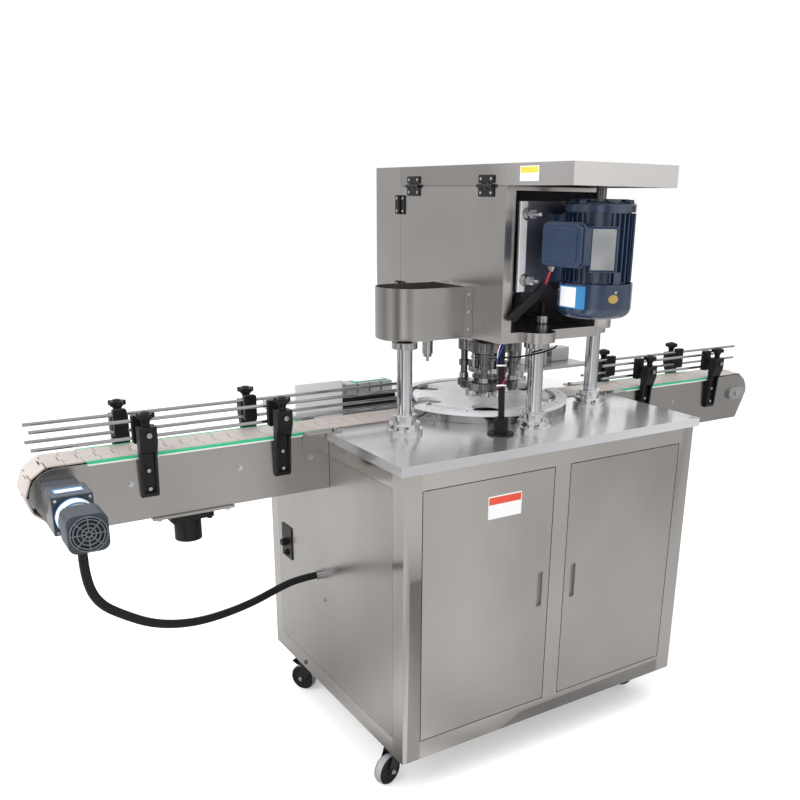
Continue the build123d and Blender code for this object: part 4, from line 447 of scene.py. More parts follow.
def block(low, high):
    """Box between two corners."""
    (x0, y0, z0), (x1, y1, z1) = low, high
    return prism(((x0, y0), (x1, y0), (x1, y1), (x0, y1)), z1 - z0, z0)


def mesh_of(bm, name):
    """Mesh from a shape that isn't needed any more."""
    me = bpy.data.meshes.new(name)
    bm.to_mesh(me)
    bm.free()
    return me


def take_in(out, bm):
    """Adds a shape to another."""
    part = mesh_of(bm, "part in work")
    out.from_mesh(part)
    bpy.data.meshes.remove(part)


def joined(shapes, name):
    """One mesh from several shapes."""
    out = bmesh.new()
    for bm in shapes:
        take_in(out, bm)
    return mesh_of(out, name)


def build(name, body, parts, edge=0.0, *nodes):
    """One piece from shapes, each with its place and finish; it stands for the nodes named.

    edge is the rounding's width in metres.
    """
    out = bmesh.new()
    me = bpy.data.meshes.new(name)
    for bm, place, finish in parts:
        if finish.name not in me.materials:
            me.materials.append(finish)
        bmesh.ops.transform(bm, matrix=place, verts=bm.verts)
        index = me.materials.find(finish.name)
        for f in bm.faces:
            f.material_index = index
        take_in(out, bm)
    out.to_mesh(me)
    out.free()
    o = add(name, bevelled(me, edge) if edge else me, body)
    if nodes:
        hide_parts(*nodes)
    return o


def rounded(half_x, half_y, r, steps=6):
    """Outline of a rectangle with round corners."""
    points = []
    for k, (sx, sy) in enumerate(((1, 1), (-1, 1), (-1, -1), (1, -1))):
        for j in range(steps + 1):
            a = radians(90 * k + 90 * j / steps)
            points.append((sx * (half_x - r) + r * cos(a), sy * (half_y - r) + r * sin(a)))
    return points


def ring(r0, r1, z0, z1, steps=48):
    """Flat ring between two radii."""
    bm = bmesh.new()
    section = ((r0, z0), (r1, z0), (r1, z1), (r0, z1))
    rows = [round_row(bm, r, z, steps) for r, z in section]
    for a, b in zip(rows, rows[1:] + rows[:1]):
        for k in range(steps):
            bm.faces.new((a[k], a[(k + 1) % steps], b[(k + 1) % steps], b[k]))
    bmesh.ops.recalc_face_normals(bm, faces=bm.faces)
    return bm


def arc_patch(x, y, r, a0, a1, z0, z1, thick=0.6, steps=14):
    """Thin plate bent round an upright axis."""
    angles = [radians(a0 + (a1 - a0) * k / steps) for k in range(steps + 1)]
    outer = [(x + (r + thick) * cos(a), y + (r + thick) * sin(a)) for a in angles]
    inner = [(x + (r - 0.5) * cos(a), y + (r - 0.5) * sin(a)) for a in reversed(angles)]
    return prism(outer + inner, z1 - z0, z0)


def hexagon(r):
    """Outline of a six-sided nut or head, r across its corners' circle."""
    return [(r * cos(radians(60 * k)), r * sin(radians(60 * k))) for k in range(6)]


def moved(x, y, z):
    return Matrix.Translation((x * MM, y * MM, z * MM))


def frame_at(place, out):
    """Turn that points a shape's Z along out, at a place."""
    z = Vector(out).normalized()
    x = Vector((1, 0, 0)) if abs(z.x) < 0.9 else Vector((0, 1, 0))
    y = z.cross(x).normalized()
    x = y.cross(z)
    return Matrix.Translation(Vector(place) * MM) @ Matrix((x, y, z)).transposed().to_4x4()


def facing_out(x, y, r, angle, z):
    """Place on a round of radius r about an upright axis, looking outwards."""
    a = radians(angle)
    return frame_at((x + r * cos(a), y + r * sin(a), z), (cos(a), sin(a), 0))


def facing(x, y, r, angle, z, way=UP):
    """Place on such a round that looks up or down."""
    a = radians(angle)
    return frame_at((x + r * cos(a), y + r * sin(a), z), way)


def set_tree():
    """Geometry nodes that set one shape at every point, turned by the point's own value."""
    tree = bpy.data.node_groups.new("set in place", "GeometryNodeTree")
    tree.is_modifier = True
    face = tree.interface
    inputs = (("Points", "Geometry"), ("Shape", "Object"), ("Size", "Float"), ("Finish", "Material"))
    for name, kind in inputs:
        face.new_socket(name, in_out="INPUT", socket_type="NodeSocket" + kind)
    face.new_socket("Result", in_out="OUTPUT", socket_type="NodeSocketGeometry")
    n = tree.nodes
    start = n.new("NodeGroupInput")
    shape = n.new("GeometryNodeObjectInfo")
    turned = n.new("GeometryNodeInputNamedAttribute")
    turned.data_type = "FLOAT_VECTOR"
    turned.inputs["Name"].default_value = "turn"
    as_turn = n.new("FunctionNodeEulerToRotation")
    setter = n.new("GeometryNodeInstanceOnPoints")
    real = n.new("GeometryNodeRealizeInstances")
    finish = n.new("GeometryNodeSetMaterial")
    end = n.new("NodeGroupOutput")
    link = tree.links.new
    link(start.outputs["Points"], setter.inputs["Points"])
    link(start.outputs["Shape"], shape.inputs["Object"])
    link(shape.outputs["Geometry"], setter.inputs["Instance"])
    link(turned.outputs["Attribute"], as_turn.inputs["Euler"])
    link(as_turn.outputs["Rotation"], setter.inputs["Rotation"])
    link(start.outputs["Size"], setter.inputs["Scale"])
    link(setter.outputs["Instances"], real.inputs["Geometry"])
    link(real.outputs["Geometry"], finish.inputs["Geometry"])
    link(start.outputs["Finish"], finish.inputs["Material"])
    link(finish.outputs["Geometry"], end.inputs["Result"])
    return tree


place_tree = set_tree()


def set_out(name, shape, places, finish, body, size=1.0):
    """One piece that holds a copy of the shape at each place."""
    points = bpy.data.meshes.new(name + " points")
    points.from_pydata([m.to_translation() for m in places], [], [])
    turns = points.attributes.new("turn", "FLOAT_VECTOR", "POINT")
    for k, m in enumerate(places):
        turns.data[k].vector = m.to_euler()
    carrier = in_scene(name + " points", points)
    sample = in_scene(name + " shape", shape)
    mod = carrier.modifiers.new("set", "NODES")
    mod.node_group = place_tree
    sockets = {s.name: s.identifier for s in place_tree.interface.items_tree if s.in_out == "INPUT"}
    mod[sockets["Shape"]] = sample
    mod[sockets["Size"]] = size
    mod[sockets["Finish"]] = finish
    got = applied(carrier, name)
    bpy.data.objects.remove(carrier)
    bpy.data.objects.remove(sample)
    return add(name, got, body)


def cap_screw_shape():
    """Socket head screw, 10 mm across: head with rounded rim and a round recess."""
    profile = ((0, -0.5), (5, -0.5), (5, 4.4), (4.5, 5.2), (3.1, 5.2), (2.7, 4.9), (2.5, 2.2), (0, 2.2))
    return mesh_of(lathe(profile, 18), "socket head screw")


def pan_screw_shape():
    """Domed screw, 8 mm across, with a round recess."""
    profile = ((0, -0.5), (4, -0.5), (4, 0.9), (3.2, 1.9), (2.0, 2.5), (1.5, 2.4), (0.7, 1.5), (0, 1.3))
    return mesh_of(lathe(profile, 16), "pan head screw")


def hex_bolt_shape():
    """Hexagon head on a washer, 10 mm across flats."""
    washer = cylinder(8, -0.3, 1.0, 20)
    return bevelled(joined((prism(hexagon(5.8), 4.2, 1.0), washer), "hexagon bolt"), 0.0004)


# Cords: the routes' points are those of the solids, in metres
def route_line(name, points):
    """Smooth line through the route, and the points read from it."""
    data = bpy.data.curves.new(name + " route", "CURVE")
    data.dimensions = "3D"
    data.resolution_u = 14
    spline = data.splines.new("NURBS")
    spline.points.add(len(points) - 1)
    for p, q in zip(spline.points, points):
        p.co = (*q, 1.0)
    spline.order_u = 3
    spline.use_endpoint_u = True
    o = in_scene(name + " route", data)
    me = applied(o, name + " line")
    line = [v.co.copy() for v in me.vertices]
    bpy.data.objects.remove(o)
    return line


def ribbed_tube(name, line, radius, pitch, depth, finish, sides=18):
    """Tube along a line, in metres, with its length. It has ribs at an even pitch if depth isn't 0."""
    lengths = [0.0]
    for a, b in zip(line, line[1:]):
        lengths.append(lengths[-1] + (b - a).length)
    total = lengths[-1]
    count = int(total / pitch)
    bm = bmesh.new()
    rings = []
    normal = None
    k = 0
    steps = count * 4 if depth else max(len(line), 8)
    for j in range(steps + 1):
        s = total * j / steps
        while k < len(line) - 2 and lengths[k + 1] < s:
            k += 1
        a, b = line[k], line[k + 1]
        t = (s - lengths[k]) / max(lengths[k + 1] - lengths[k], 1e-9)
        centre = a.lerp(b, t)
        along = (b - a).normalized()
        if normal is None:
            normal = along.orthogonal().normalized()
        normal = (normal - along * normal.dot(along)).normalized()
        side = along.cross(normal)
        r = radius - (depth if j % 4 in (0, 1) and 0 < j < steps else 0.0)
        spokes = [normal * cos(2 * pi * i / sides) + side * sin(2 * pi * i / sides) for i in range(sides)]
        rings.append([bm.verts.new(centre + spoke * r) for spoke in spokes])
    for ra, rb in zip(rings, rings[1:]):
        for i in range(sides):
            bm.faces.new((ra[i], ra[(i + 1) % sides], rb[(i + 1) % sides], rb[i]))
    bm.faces.new(rings[0])
    bm.faces.new(rings[-1])
    bmesh.ops.recalc_face_normals(bm, faces=bm.faces)
    return add(name, mesh_of(bm, name), "machine", finish, smooth=50.0), total


def cord(name, node, route, diameter, pitch, depth):
    """Free hose or conduit between two fixed ends, which stands for its node."""
    line = route_line(name, route)
    tube, length = ribbed_tube(node + "_tube", line, diameter / 2, pitch, depth, black_rubber)
    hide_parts(node)
    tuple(route[0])
    [tuple(p) for p in line]
    return line


hose_route = [
    (-1.088, -0.259, 0.732),
    (-1.088, -0.259, 0.684),
    (-1.068, -0.254, 0.630),
    (-1.020, -0.234, 0.586),
    (-0.964, -0.203, 0.540),
    (-0.900, -0.162, 0.502),
    (-0.828, -0.114, 0.471),
    (-0.748, -0.064, 0.450),
    (-0.664, -0.020, 0.4405),
    (-0.590, 0.016, 0.442),
    (-0.532, 0.032, 0.4476),
    (-0.476, 0.032, 0.4476),
]
conduit_route = [
    (-0.1068, -0.255, 0.852),
    (-0.1068, -0.255, 0.928),
    (-0.093, -0.229, 1.008),
    (-0.093, -0.229, 1.096),
]
cord("motor hose", "motor_hose", hose_route, 0.019, 0.0048, 0.0010)
conduit_line = cord("cable conduit", "cable_conduit", conduit_route, 0.017, 0.0056, 0.0013)

# Nodes dressed with soft edges and their own finishes. The functions tell solids or faces
# apart by where they lie, in millimetres.
BOX_LEFT, BOX_RIGHT = -113.0, 190.0
BOX_NEAR, BOX_FAR = -250.0, 210.0
BOX_TOP = 1412.0
SKIN = 1.6
PLATE_LEFT, PLATE_RIGHT, PLATE_NEAR = -73.0, 173.0, -263.0
STUD_X = (-64.0, 159.0)


def frame_finish(a, b):
    """Tubes, and the black caster plates under them."""
    return 1 if b.z < 101 else 0


dress("cabinet_frame", (frame_steel, black_metal), frame_finish, 0.0012)
dress("cabinet_panels", (stainless,), edge=0.0)
dress("table_top", (table_steel,), edge=0.0007)
dress("left_door", (stainless,), edge=0.0006)
dress("right_door", (stainless,), edge=0.0006)


def base_finish(a, b):
    """Plate over the columns, bright cylinder left of the head, dark machined rest."""
    if b.x - a.x > 300:
        return 0
    return 2 if b.x < -140 else 1


dress("head_base", (hood_steel, machine_steel, bright), base_finish, 0.001)


def hinge_or_sheet(a, b):
    """Hinge leaves are the small thin solids."""
    return 1 if b.x - a.x < 12 and b.z - a.z < 70 else 0


def shell_finish(centre, normal):
    """Box sheet, black hinge leaves, the box's inside in a darker sheet for painted shade, and the curved
    guard in a darker copy of the hood sheet, also painted shade.
    """
    if centre.x < BOX_LEFT - 1:
        # Curved guard in the darker copy of the hood sheet: painted shade
        return 1 if abs(centre.y + 56) > 76 else 3
    inside_x = BOX_LEFT + SKIN < centre.x < BOX_RIGHT - SKIN
    inside_y = BOX_NEAR + SKIN < centre.y < BOX_FAR - SKIN
    # The box's inside faces: painted shade
    return 2 if inside_x and inside_y and centre.z < BOX_TOP else 0


dress("head_shell", (hood_steel, black_metal, painted_shade_sheet, guard_steel_painted_shade), shell_finish, 0.0005, True)
dress("lid", (lid_steel, black_metal), hinge_or_sheet, 0.0006)
dress("front_cover", (hood_steel, black_metal), hinge_or_sheet, 0.0006)


def mount_finish(centre, normal):
    """Plate with a darker face, painted shade, and a zinc edge, zinc studs and nuts, the black brace."""
    if centre.z < 1183.5 and centre.y > -257 and centre.x < -60:
        return 2
    if centre.x < PLATE_LEFT - 1 or (centre.x < PLATE_LEFT + 1 and abs(normal.x) > 0.9):
        return 1
    on_face = PLATE_NEAR < centre.y < -242 and PLATE_LEFT < centre.x < PLATE_RIGHT
    # The plate's face behind the motor: painted shade
    if on_face and abs(normal.y) > 0.9 and centre.z < 1384:
        return 3
    return 1 if min(abs(centre.x - x) for x in STUD_X) < 10 else 0


dress("motor_mount", (stainless, zinc, black_metal, painted_shade_sheet), mount_finish, 0.0006, True)


def motor_finish(a, b):
    """Finned body, which is the tallest solid, and the fan cover."""
    return 0 if b.z > 1380 else 1


def is_terminal_box(a, b):
    """The box is the solid left of the motor's round."""
    return b.x < 0


dress("motor_body", (motor_paint, motor_cover), motor_finish, 0.0012, leave_out=is_terminal_box)
dress("motor_rotor", (machine_steel,), edge=0.0005)
dress("drive_belt", (black_rubber,), edge=0.0)


def conveyor_finish(centre, normal):
    """Side plates and bars, the black socket's plate, and the bearings at both ends."""
    if -900 < centre.x < -690 and centre.z < 692.5 and -30 < centre.y < 120:
        return 1
    at_bearing = abs(centre.x) > 1015 and 750 < centre.z < 820
    return 2 if at_bearing and not -12.5 < centre.y < 102.5 else 0


dress("conveyor_frame", (stainless_flat, black_plastic, aluminium), conveyor_finish, 0.0006, True)
dress("wear_strips", (strip_green,), edge=0.0004)
dress("drive_shaft", (zinc,), edge=0.0004)
dress("tail_shaft", (zinc,), edge=0.0004)
dress("rail_arms", (black_plastic,), edge=0.0012)


def rail_finish(a, b):
    """Steel rods, and the black heads that hold them, which are taller."""
    return 1 if b.z - a.z > 30 else 0


for side in ("left_near", "left_far", "right_near", "right_far"):
    dress("rail_" + side, (rail_steel, black_plastic), rail_finish, 0.0005)


def guide_finish(a, b):
    """Steel walls and floors, the white ring on top, the dark cup under the table."""
    if a.z > 860:
        return 1
    return 2 if b.z < 845 else 0


dress("can_guide", (rail_steel, white_plastic, machine_steel), guide_finish, 0.0004)
dress("star_wheel", (white_plastic, bright), edge=0.0005)
dress("can_lifter", (bright,), edge=0.0006)


def head_finish(centre, normal):
    """Bright chuck and spindle end, dark machined rest."""
    return 1 if centre.z < 925 or centre.z > 1400 else 0


dress("seaming_head", (machine_steel, bright), head_finish, 0.0008, True)
for k in (1, 2, 3, 4):
    dress("roller_arm_" + str(k), (machine_steel,), edge=0.0010)
    dress("seaming_roller_" + str(k), (polished,), edge=0.0004)
dress("lid_pusher", (aluminium,), edge=0.0005)


def feed_finish(a, b):
    """Feed plate and magazine, the white relay box, the valves' rail and the valves."""
    if b.x < -300:
        return 1
    if b.x < -100:
        return 2 if b.z < 873 else 3
    return 0


dress("feed_unit", (aluminium, plate_white, black_plastic, plate_grey), feed_finish, 0.0008)


def fitting_finish(a, b):
    """Zinc hose gland and nut, black rest."""
    return 1 if b.z < 500 and a.y < 100 else 0


dress("fittings", (black_plastic, zinc), fitting_finish, 0.0006)
dress("speed_knob", (black_plastic,), edge=0.0006)
for corner in ("near_left", "near_right", "far_left", "far_right"):
    dress("caster_fork_" + corner, (black_metal,), edge=0.0008)
dress("caster_brake_pedal", (black_metal,), edge=0.0006)


# Conveyor chain: flat-top links with interlocking hinge eyes, set round the band
DRIVE_X, TAIL_X, CONVEYOR_Y, SHAFT_Z = -1076.0, 1058.0, 45.0, 784.0
LINK_R = 62.0
LINK_PITCH = 38.1
straight = TAIL_X - DRIVE_X
bend = pi * LINK_R
loop = 2 * straight + 2 * bend
links_n = int(round(loop / LINK_PITCH))
step = loop / links_n


def link_shape():
    """Top plate of one link, its edges cut into hinge eyes that mesh with the next."""
    half = 50.8
    front = step / 2 - 0.5
    rear = -step / 2 + 0.5
    eye = 7.0
    outline = [
        (rear, -half), (front, -half), (front, -17.0), (front - eye, -16.4),
        (front - eye, 16.4), (front, 17.0), (front, half), (rear, half),
        (rear, 16.0), (rear - eye + 1.0, 15.4), (rear - eye + 1.0, -15.4), (rear, -16.0),
    ]
    plate = prism(outline, 4.0, -2.0)
    lug = block((-step / 2 - 4, -12, -7.0), (-step / 2 + 4, 12, -2.0))
    return bevelled(joined((plate, lug), "chain link"), 0.0007)


link_places = []
for k in range(links_n):
    s = k * step
    if s < straight:
        x, z, a = DRIVE_X + s, SHAFT_Z + LINK_R, 0.0
    elif s < straight + bend:
        a = (s - straight) / LINK_R
        x, z = TAIL_X + LINK_R * sin(a), SHAFT_Z + LINK_R * cos(a)
    elif s < 2 * straight + bend:
        x, z, a = TAIL_X - (s - straight - bend), SHAFT_Z - LINK_R, pi
    else:
        t = (s - 2 * straight - bend) / LINK_R
        x, z, a = DRIVE_X - LINK_R * sin(t), SHAFT_Z - LINK_R * cos(t), pi + t
    link_places.append(moved(x, CONVEYOR_Y, z) @ Matrix.Rotation(a, 4, "Y"))
chain = set_out("conveyor_chain_links", link_shape(), link_places, chain_plastic, "machine")
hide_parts("conveyor_chain")

# Screws and bolts
HINGE_X = -116.0
LID_HINGES_Y = (143.0, -175.0)
COVER_HINGES_Z = (1370.0, 1148.0)
SIDE_NEAR, SIDE_FAR = -13.0, 103.0
COLUMNS = ((-297, -118), (-5, -252), (306, -116), (300, 215))
NEAR_ARMS, FAR_ARMS = (-891, -576, 625, 930), (-912, -606, 578, 882)
cap_screw = cap_screw_shape()
pan_screw = pan_screw_shape()
hex_bolt = hex_bolt_shape()
hinge_places = {"machine": [], "lid": [], "front_cover": []}
for y in LID_HINGES_Y:
    for dy in (-20.0, 20.0):
        hinge_places["machine"].append(frame_at((HINGE_X, y + dy, 1401.5), LEFT))
        hinge_places["lid"].append(frame_at((HINGE_X, y + dy, 1431.5), LEFT))
for z in COVER_HINGES_Z:
    for dz in (-16.0, 16.0):
        hinge_places["machine"].append(frame_at((HINGE_X, 195.5, z + dz), LEFT))
        hinge_places["front_cover"].append(frame_at((HINGE_X, 225.5, z + dz), LEFT))
for body, places in hinge_places.items():
    set_out("hinge_screws_" + body, pan_screw, places, zinc, body, 0.9)

bolts = []
for x in (-930, -680, -500, 500, 760, 955):
    bolts.append(frame_at((x, SIDE_NEAR, SHAFT_Z), NEAR))
    bolts.append(frame_at((x, SIDE_FAR, SHAFT_Z), FAR))
for x in (-875, -715):
    for y in (SIDE_NEAR + 1, SIDE_FAR - 1):
        bolts.append(frame_at((x, y, 692), DOWN))
# The lower bolt on the left panel stands twice in one place
for y, z in ((166, 121), (166, 121), (38, 368)):
    bolts.append(frame_at((-450, y, z), LEFT))
set_out("frame_bolts", hex_bolt, bolts, zinc, "machine", 0.9)

caps = []
for x, y in COLUMNS:
    for angle in (20, 110, 200, 290):
        caps.append(facing(x, y, 36.5, angle, 870))
    for angle in (-150, -118):
        caps.append(facing_out(x, y, 45, angle, 858))
    caps.append(facing_out(x, y, 28.5, -128, 880))
for xs, y, way in ((NEAR_ARMS, -19.5, NEAR), (FAR_ARMS, 109.5, FAR)):
    for x in xs:
        for z in (770, 812):
            caps.append(frame_at((x, y, z), way))
set_out("socket_screws", cap_screw, caps, zinc, "machine", 0.9)

# Casters: wheel with pale tread between black side plates, and the axle bolt's heads
CASTERS = {
    "near_left": (-410, -275, 199),
    "near_right": (410, -275, 125),
    "far_left": (-410, 200, 122),
    "far_right": (410, 200, 200),
}
TRAIL, AXLE_Z = 36.0, 37.5
TREAD = ((0, -9), (36.2, -9), (37.4, -7), (37.5, 0), (37.4, 7), (36.2, 9), (0, 9))
HUB = ((0, 9), (35.8, 9), (34.6, 12), (30, 13), (27, 12.2), (15, 12.2), (12, 14.5), (0, 14.5))
for corner, (x, y, turned) in CASTERS.items():
    a = radians(turned)
    way = Vector((sin(a), -cos(a), 0))
    axle = Vector((x + TRAIL * cos(a), y + TRAIL * sin(a), AXLE_Z))
    place = frame_at(axle, way)
    wheel_parts = [(lathe(TREAD, 48), place, tread_grey)]
    for s in (1, -1):
        wheel_parts.append((lathe([(r, s * z) for r, z in HUB], 40), place, wheel_black))
    wheel = "caster_wheel_" + corner
    build(wheel + "_finer", wheel, wheel_parts, 0.0, wheel)
    heads = [frame_at(axle + way * s * 20.6, way * s) for s in (1, -1)]
    set_out("axle_bolt_" + corner, hex_bolt, heads, zinc, "caster_fork_" + corner, 0.8)

# Rail knobs: five rounded lobes on a neck
KNOBS = {
    "left_near": (NEAR_ARMS[:2], -31),
    "left_far": (FAR_ARMS[:2], 121),
    "right_near": (NEAR_ARMS[2:], -31),
    "right_far": (FAR_ARMS[2:], 121),
}
KNOB_NECK = ((0, 914.4), (9, 914.4), (8.2, 922), (13, 932.2), (0, 932.2))
KNOB_CAP = ((0, 942.5), (10.5, 942.5), (9, 945.4), (6, 946.3), (0, 946.4))


def lobed(r, swell, lobes, steps=60):
    """Outline of a round whose radius swells once for each lobe."""
    angles = [2 * pi * j / steps for j in range(steps)]
    radii = [r + swell * cos(lobes * a) for a in angles]
    return [(q * cos(a), q * sin(a)) for q, a in zip(radii, angles)]


for side, (xs, y) in KNOBS.items():
    for k, x in enumerate(xs):
        at = moved(x, y, 0)
        parts = [
            (prism(lobed(17.4, 3.0, 5), 11.0, 932.0), at, black_plastic),
            (lathe(KNOB_NECK, 24), at, black_plastic),
            (lathe(KNOB_CAP, 24), at, black_plastic),
        ]
        knob = "rail_knob_" + side + "_" + str(k + 1)
        build(knob + "_finer", knob, parts, 0.0011, knob)

# Gear motor: adapter, gearbox, barrel with a blank band, end cap with a vent of rings and spokes over a
# black disc, painted shade in the vent's slots
CAP_CORNER = 33


def on_gear(half, y0, y1, z0, z1):
    """Block on the gear motor, its heights counted from the shaft."""
    return block((DRIVE_X - half, y0, SHAFT_Z + z0), (DRIVE_X + half, y1, SHAFT_Z + z1))


gear_parts = [
    (on_gear(35, -73, SIDE_NEAR, -35, 35), HERE, gear_paint),
    (on_gear(40, -150, -73, -40, 40), HERE, gear_paint),
    (prism(rounded(38, 38, 17), 66.0), frame_at((DRIVE_X, -208, SHAFT_Z), NEAR), gear_cap),
    (cylinder(8, 0, 20, 20), frame_at((DRIVE_X - 12, -259, SHAFT_Z - 32), DOWN), black_plastic),
]
build("gear_motor_body", "machine", gear_parts, 0.0022, "gear_motor")
barrel = frame_at((DRIVE_X, -150, SHAFT_Z), NEAR)
vent = frame_at((DRIVE_X, -274, SHAFT_Z), NEAR)
trim = [
    (cylinder(37, 0, 58, 48), barrel, bright),
    (ring(36.8, 37.5, 12, 44), barrel, plate_white),
    (ring(36.8, 37.8, 10, 15), barrel, plate_blue),
    (ring(36.8, 37.8, 40, 45), barrel, plate_blue),
    (on_gear(29, -128, -96, 40, 40.5), HERE, plate_blue),
    (on_gear(26, -124, -106, 40.4, 40.8), HERE, plate_white),
    # Black disc under the vent's rings and spokes: painted shade in the slots
    (cylinder(33, -0.2, 0.6, 40), vent, black_plastic),
]
for r0, r1 in ((4, 6.5), (12, 14), (20, 22), (28, 30), (33, 35)):
    trim.append((ring(r0, r1, 0.3, 3.6), vent, gear_rib))
for k in range(8):
    spoke = block((4.5, -1.1, 0.3), (33.5, 1.1, 3.0))
    trim.append((spoke, vent @ Matrix.Rotation(pi * k / 4, 4, "Z"), gear_rib))
build("gear_motor_trim", "machine", trim)
corner_screws = []
for sx in (1, -1):
    for sz in (1, -1):
        at = (DRIVE_X + sx * CAP_CORNER, -150, SHAFT_Z + sz * CAP_CORNER)
        corner_screws.append(frame_at(at, NEAR))
set_out("gear_motor_screws", cap_screw, corner_screws, zinc, "machine", 0.6)

# Motor: terminal box with a domed lid, blank plates, cover screws, lugs of the end shield
MOTOR_X, MOTOR_Y = 78.0, -352.0
PLATE_ANGLE, PLATE_Z = -124.0, 1285.0
BOX_ANGLE, BOX_Z = -165.0, 1294.0


def on_motor(angle, r, z):
    """Place on the motor's round."""
    return facing_out(MOTOR_X, MOTOR_Y, r, angle, z)


box_at = moved(-13, 14, 0) @ on_motor(BOX_ANGLE, 66, BOX_Z)
motor_parts = [
    (prism(rounded(50, 47, 10), 34.0), box_at, motor_paint),
    (prism(rounded(54, 49, 12), 5.0, 34.0), box_at, motor_paint),
    (prism(rounded(51, 46, 12), 11.0, 38.5), box_at, motor_paint),
    (prism(rounded(42, 37, 10), 3.0, 49.0), box_at, motor_paint),
    (block((-30, -50, -9), (30, 50, 3.4)), on_motor(PLATE_ANGLE, 78, PLATE_Z), motor_paint),
    (block((-9, -14, -9), (9, 14, 4)), on_motor(-98, 78, 1222), motor_paint),
]
for angle in (-163, -73, 17, 107):
    motor_parts.append((block((-8, -9, -12), (8, 9, 4)), on_motor(angle, 76, 1382), motor_paint))
build("motor_box_and_pads", "machine", motor_parts, 0.0022)
oval = [(12.5 * cos(2 * pi * k / 28), 9.5 * sin(2 * pi * k / 28)) for k in range(28)]
box_gland = ((0, 0), (9, 0), (9, 8), (6, 9), (6, 13), (0, 13))
motor_trim = [
    (block((-26, -44, -0.5), (26, 44, 0.6)), on_motor(PLATE_ANGLE, 81.6, PLATE_Z), plate_grey),
    (arc_patch(MOTOR_X, MOTOR_Y, 86, -200, -147, 1154, 1204), HERE, plate_blue),
    (arc_patch(MOTOR_X, MOTOR_Y, 86, -196, -162, 1157, 1201, 0.9), HERE, plate_white),
    (prism(oval, 1.2), on_motor(-104, 85.6, 1178), brass),
    (lathe(box_gland, 18), frame_at((-30, -322, 1247), DOWN), zinc),
]
build("motor_plates", "machine", motor_trim)
cover_screws = [on_motor(angle, 85.8, 1192) for angle in (-100, -205, 60, -20)]
set_out("motor_screws", pan_screw, cover_screws, zinc, "machine", 0.9)
plate_face = on_motor(PLATE_ANGLE, 82.0, PLATE_Z)
plate_screws = [plate_face @ moved(sx * 23, sz * 40, 0) for sx in (1, -1) for sz in (1, -1)]
set_out("motor_plate_screws", pan_screw, plate_screws, zinc, "machine", 0.4)

# Seaming head: collars on the pins, plate with springs, bolts under the arms
HEAD_X, HEAD_Y = -43.0, -109.0
PIN_R, SPRING_R = 62, 44
head_at = moved(HEAD_X, HEAD_Y, 0)
head_parts = [
    (ring(34.5, 50, 972, 984), head_at, bright),
    (ring(34.5, 44, 1004, 1009), head_at, machine_steel),
    (ring(34.5, 43, 1011, 1016), head_at, machine_steel),
    (ring(34.5, 40, 956, 963), head_at, machine_steel),
]
coils = [(0, 984)]
for j in range(10):
    coils += [(5.6, 984 + 4 * j), (4.4, 986 + 4 * j)]
coils.append((0, 1024))
under = []
for k in range(4):
    b = radians(90 * k)
    a = radians(45 + 90 * k)
    pin = moved(HEAD_X + PIN_R * cos(a), HEAD_Y + PIN_R * sin(a), 0)
    spring = moved(HEAD_X + SPRING_R * cos(b), HEAD_Y + SPRING_R * sin(b), 0)
    lever = block((4, -7, 984), (22, 7, 998))
    head_parts.append((ring(8.8, 13.5, 984, 998, 24), pin, machine_steel))
    head_parts.append((ring(8.8, 12.0, 952, 964, 24), pin, bright))
    head_parts.append((lever, pin @ Matrix.Rotation(a + pi, 4, "Z"), machine_steel))
    head_parts.append((lathe(coils, 16), spring, bright))
    under.append(facing(HEAD_X, HEAD_Y, PIN_R, 45 + 90 * k, 926, DOWN))
    under.append(facing_out(HEAD_X, HEAD_Y, 50.5, 90 * k, 978))
build("seaming_head_trim", "seaming_head", head_parts, 0.0006)
set_out("seaming_head_bolts", hex_bolt, under, bright, "seaming_head", 0.75)

# Flush screws in the ring round the star wheel
STAR_X, STAR_Y = 41, 34
ring_angles = (-165, -135, -100, -60, -25, 30, 60, 120, 150)
ring_screws = [facing(STAR_X, STAR_Y, 221, angle, 875.6) for angle in ring_angles]
set_out("ring_screws", pan_screw, ring_screws, zinc, "machine", 0.8)


# Wires beside the conduit, with white ties round the bundle
def beside(line, start, end, r, turns, phase, steps=60):
    """Points of a wire that winds round a line between two shares of its length."""
    out = []
    for k in range(steps + 1):
        t = (start + (end - start) * k / steps) * (len(line) - 1)
        j = min(int(t), len(line) - 2)
        p = line[j].lerp(line[j + 1], t - j)
        a = phase + 2 * pi * turns * k / steps
        out.append(p + Vector((cos(a), sin(a), 0)) * r * MM)
    return out


def millimetres(*points):
    return [Vector(p) * MM for p in points]


def wire(name, points, r, finish):
    """Smooth fixed wire through points in metres, its radius in millimetres."""
    ribbed_tube(name, points, r * MM, 1.0, 0.0, finish, 8)


wire("wire_red", beside(conduit_line, 0.45, 0.98, 9.6, 1.2, 3.6), 1.5, wire_red)
wire("wire_blue", beside(conduit_line, 0.45, 0.98, 9.6, 1.2, 4.6), 1.5, wire_blue)
wire("wire_pale", beside(conduit_line, 0.50, 0.98, 9.8, 0.9, 5.4), 1.3, tie_white)
box_wire = millimetres((-30, -322, 1238), (-34, -318, 1226), (-33, -310, 1212), (-29, -300, 1199))
bundle = millimetres((-27, -298, 1202), (-48, -286, 1175), (-70, -272, 1147), (-90, -258, 1122))
to_sensor = millimetres(
    (-90, -236, 1028), (-74, -256, 1030), (-50, -276, 1036),
    (-10, -284, 1042), (26, -276, 1046), (48, -264, 1050),
)
wire("wire_motor", box_wire, 2.2, wire_red)
wire("motor_cable", bundle, 11, black_rubber)
wire("sensor_cable", to_sensor, 2.2, black_rubber)

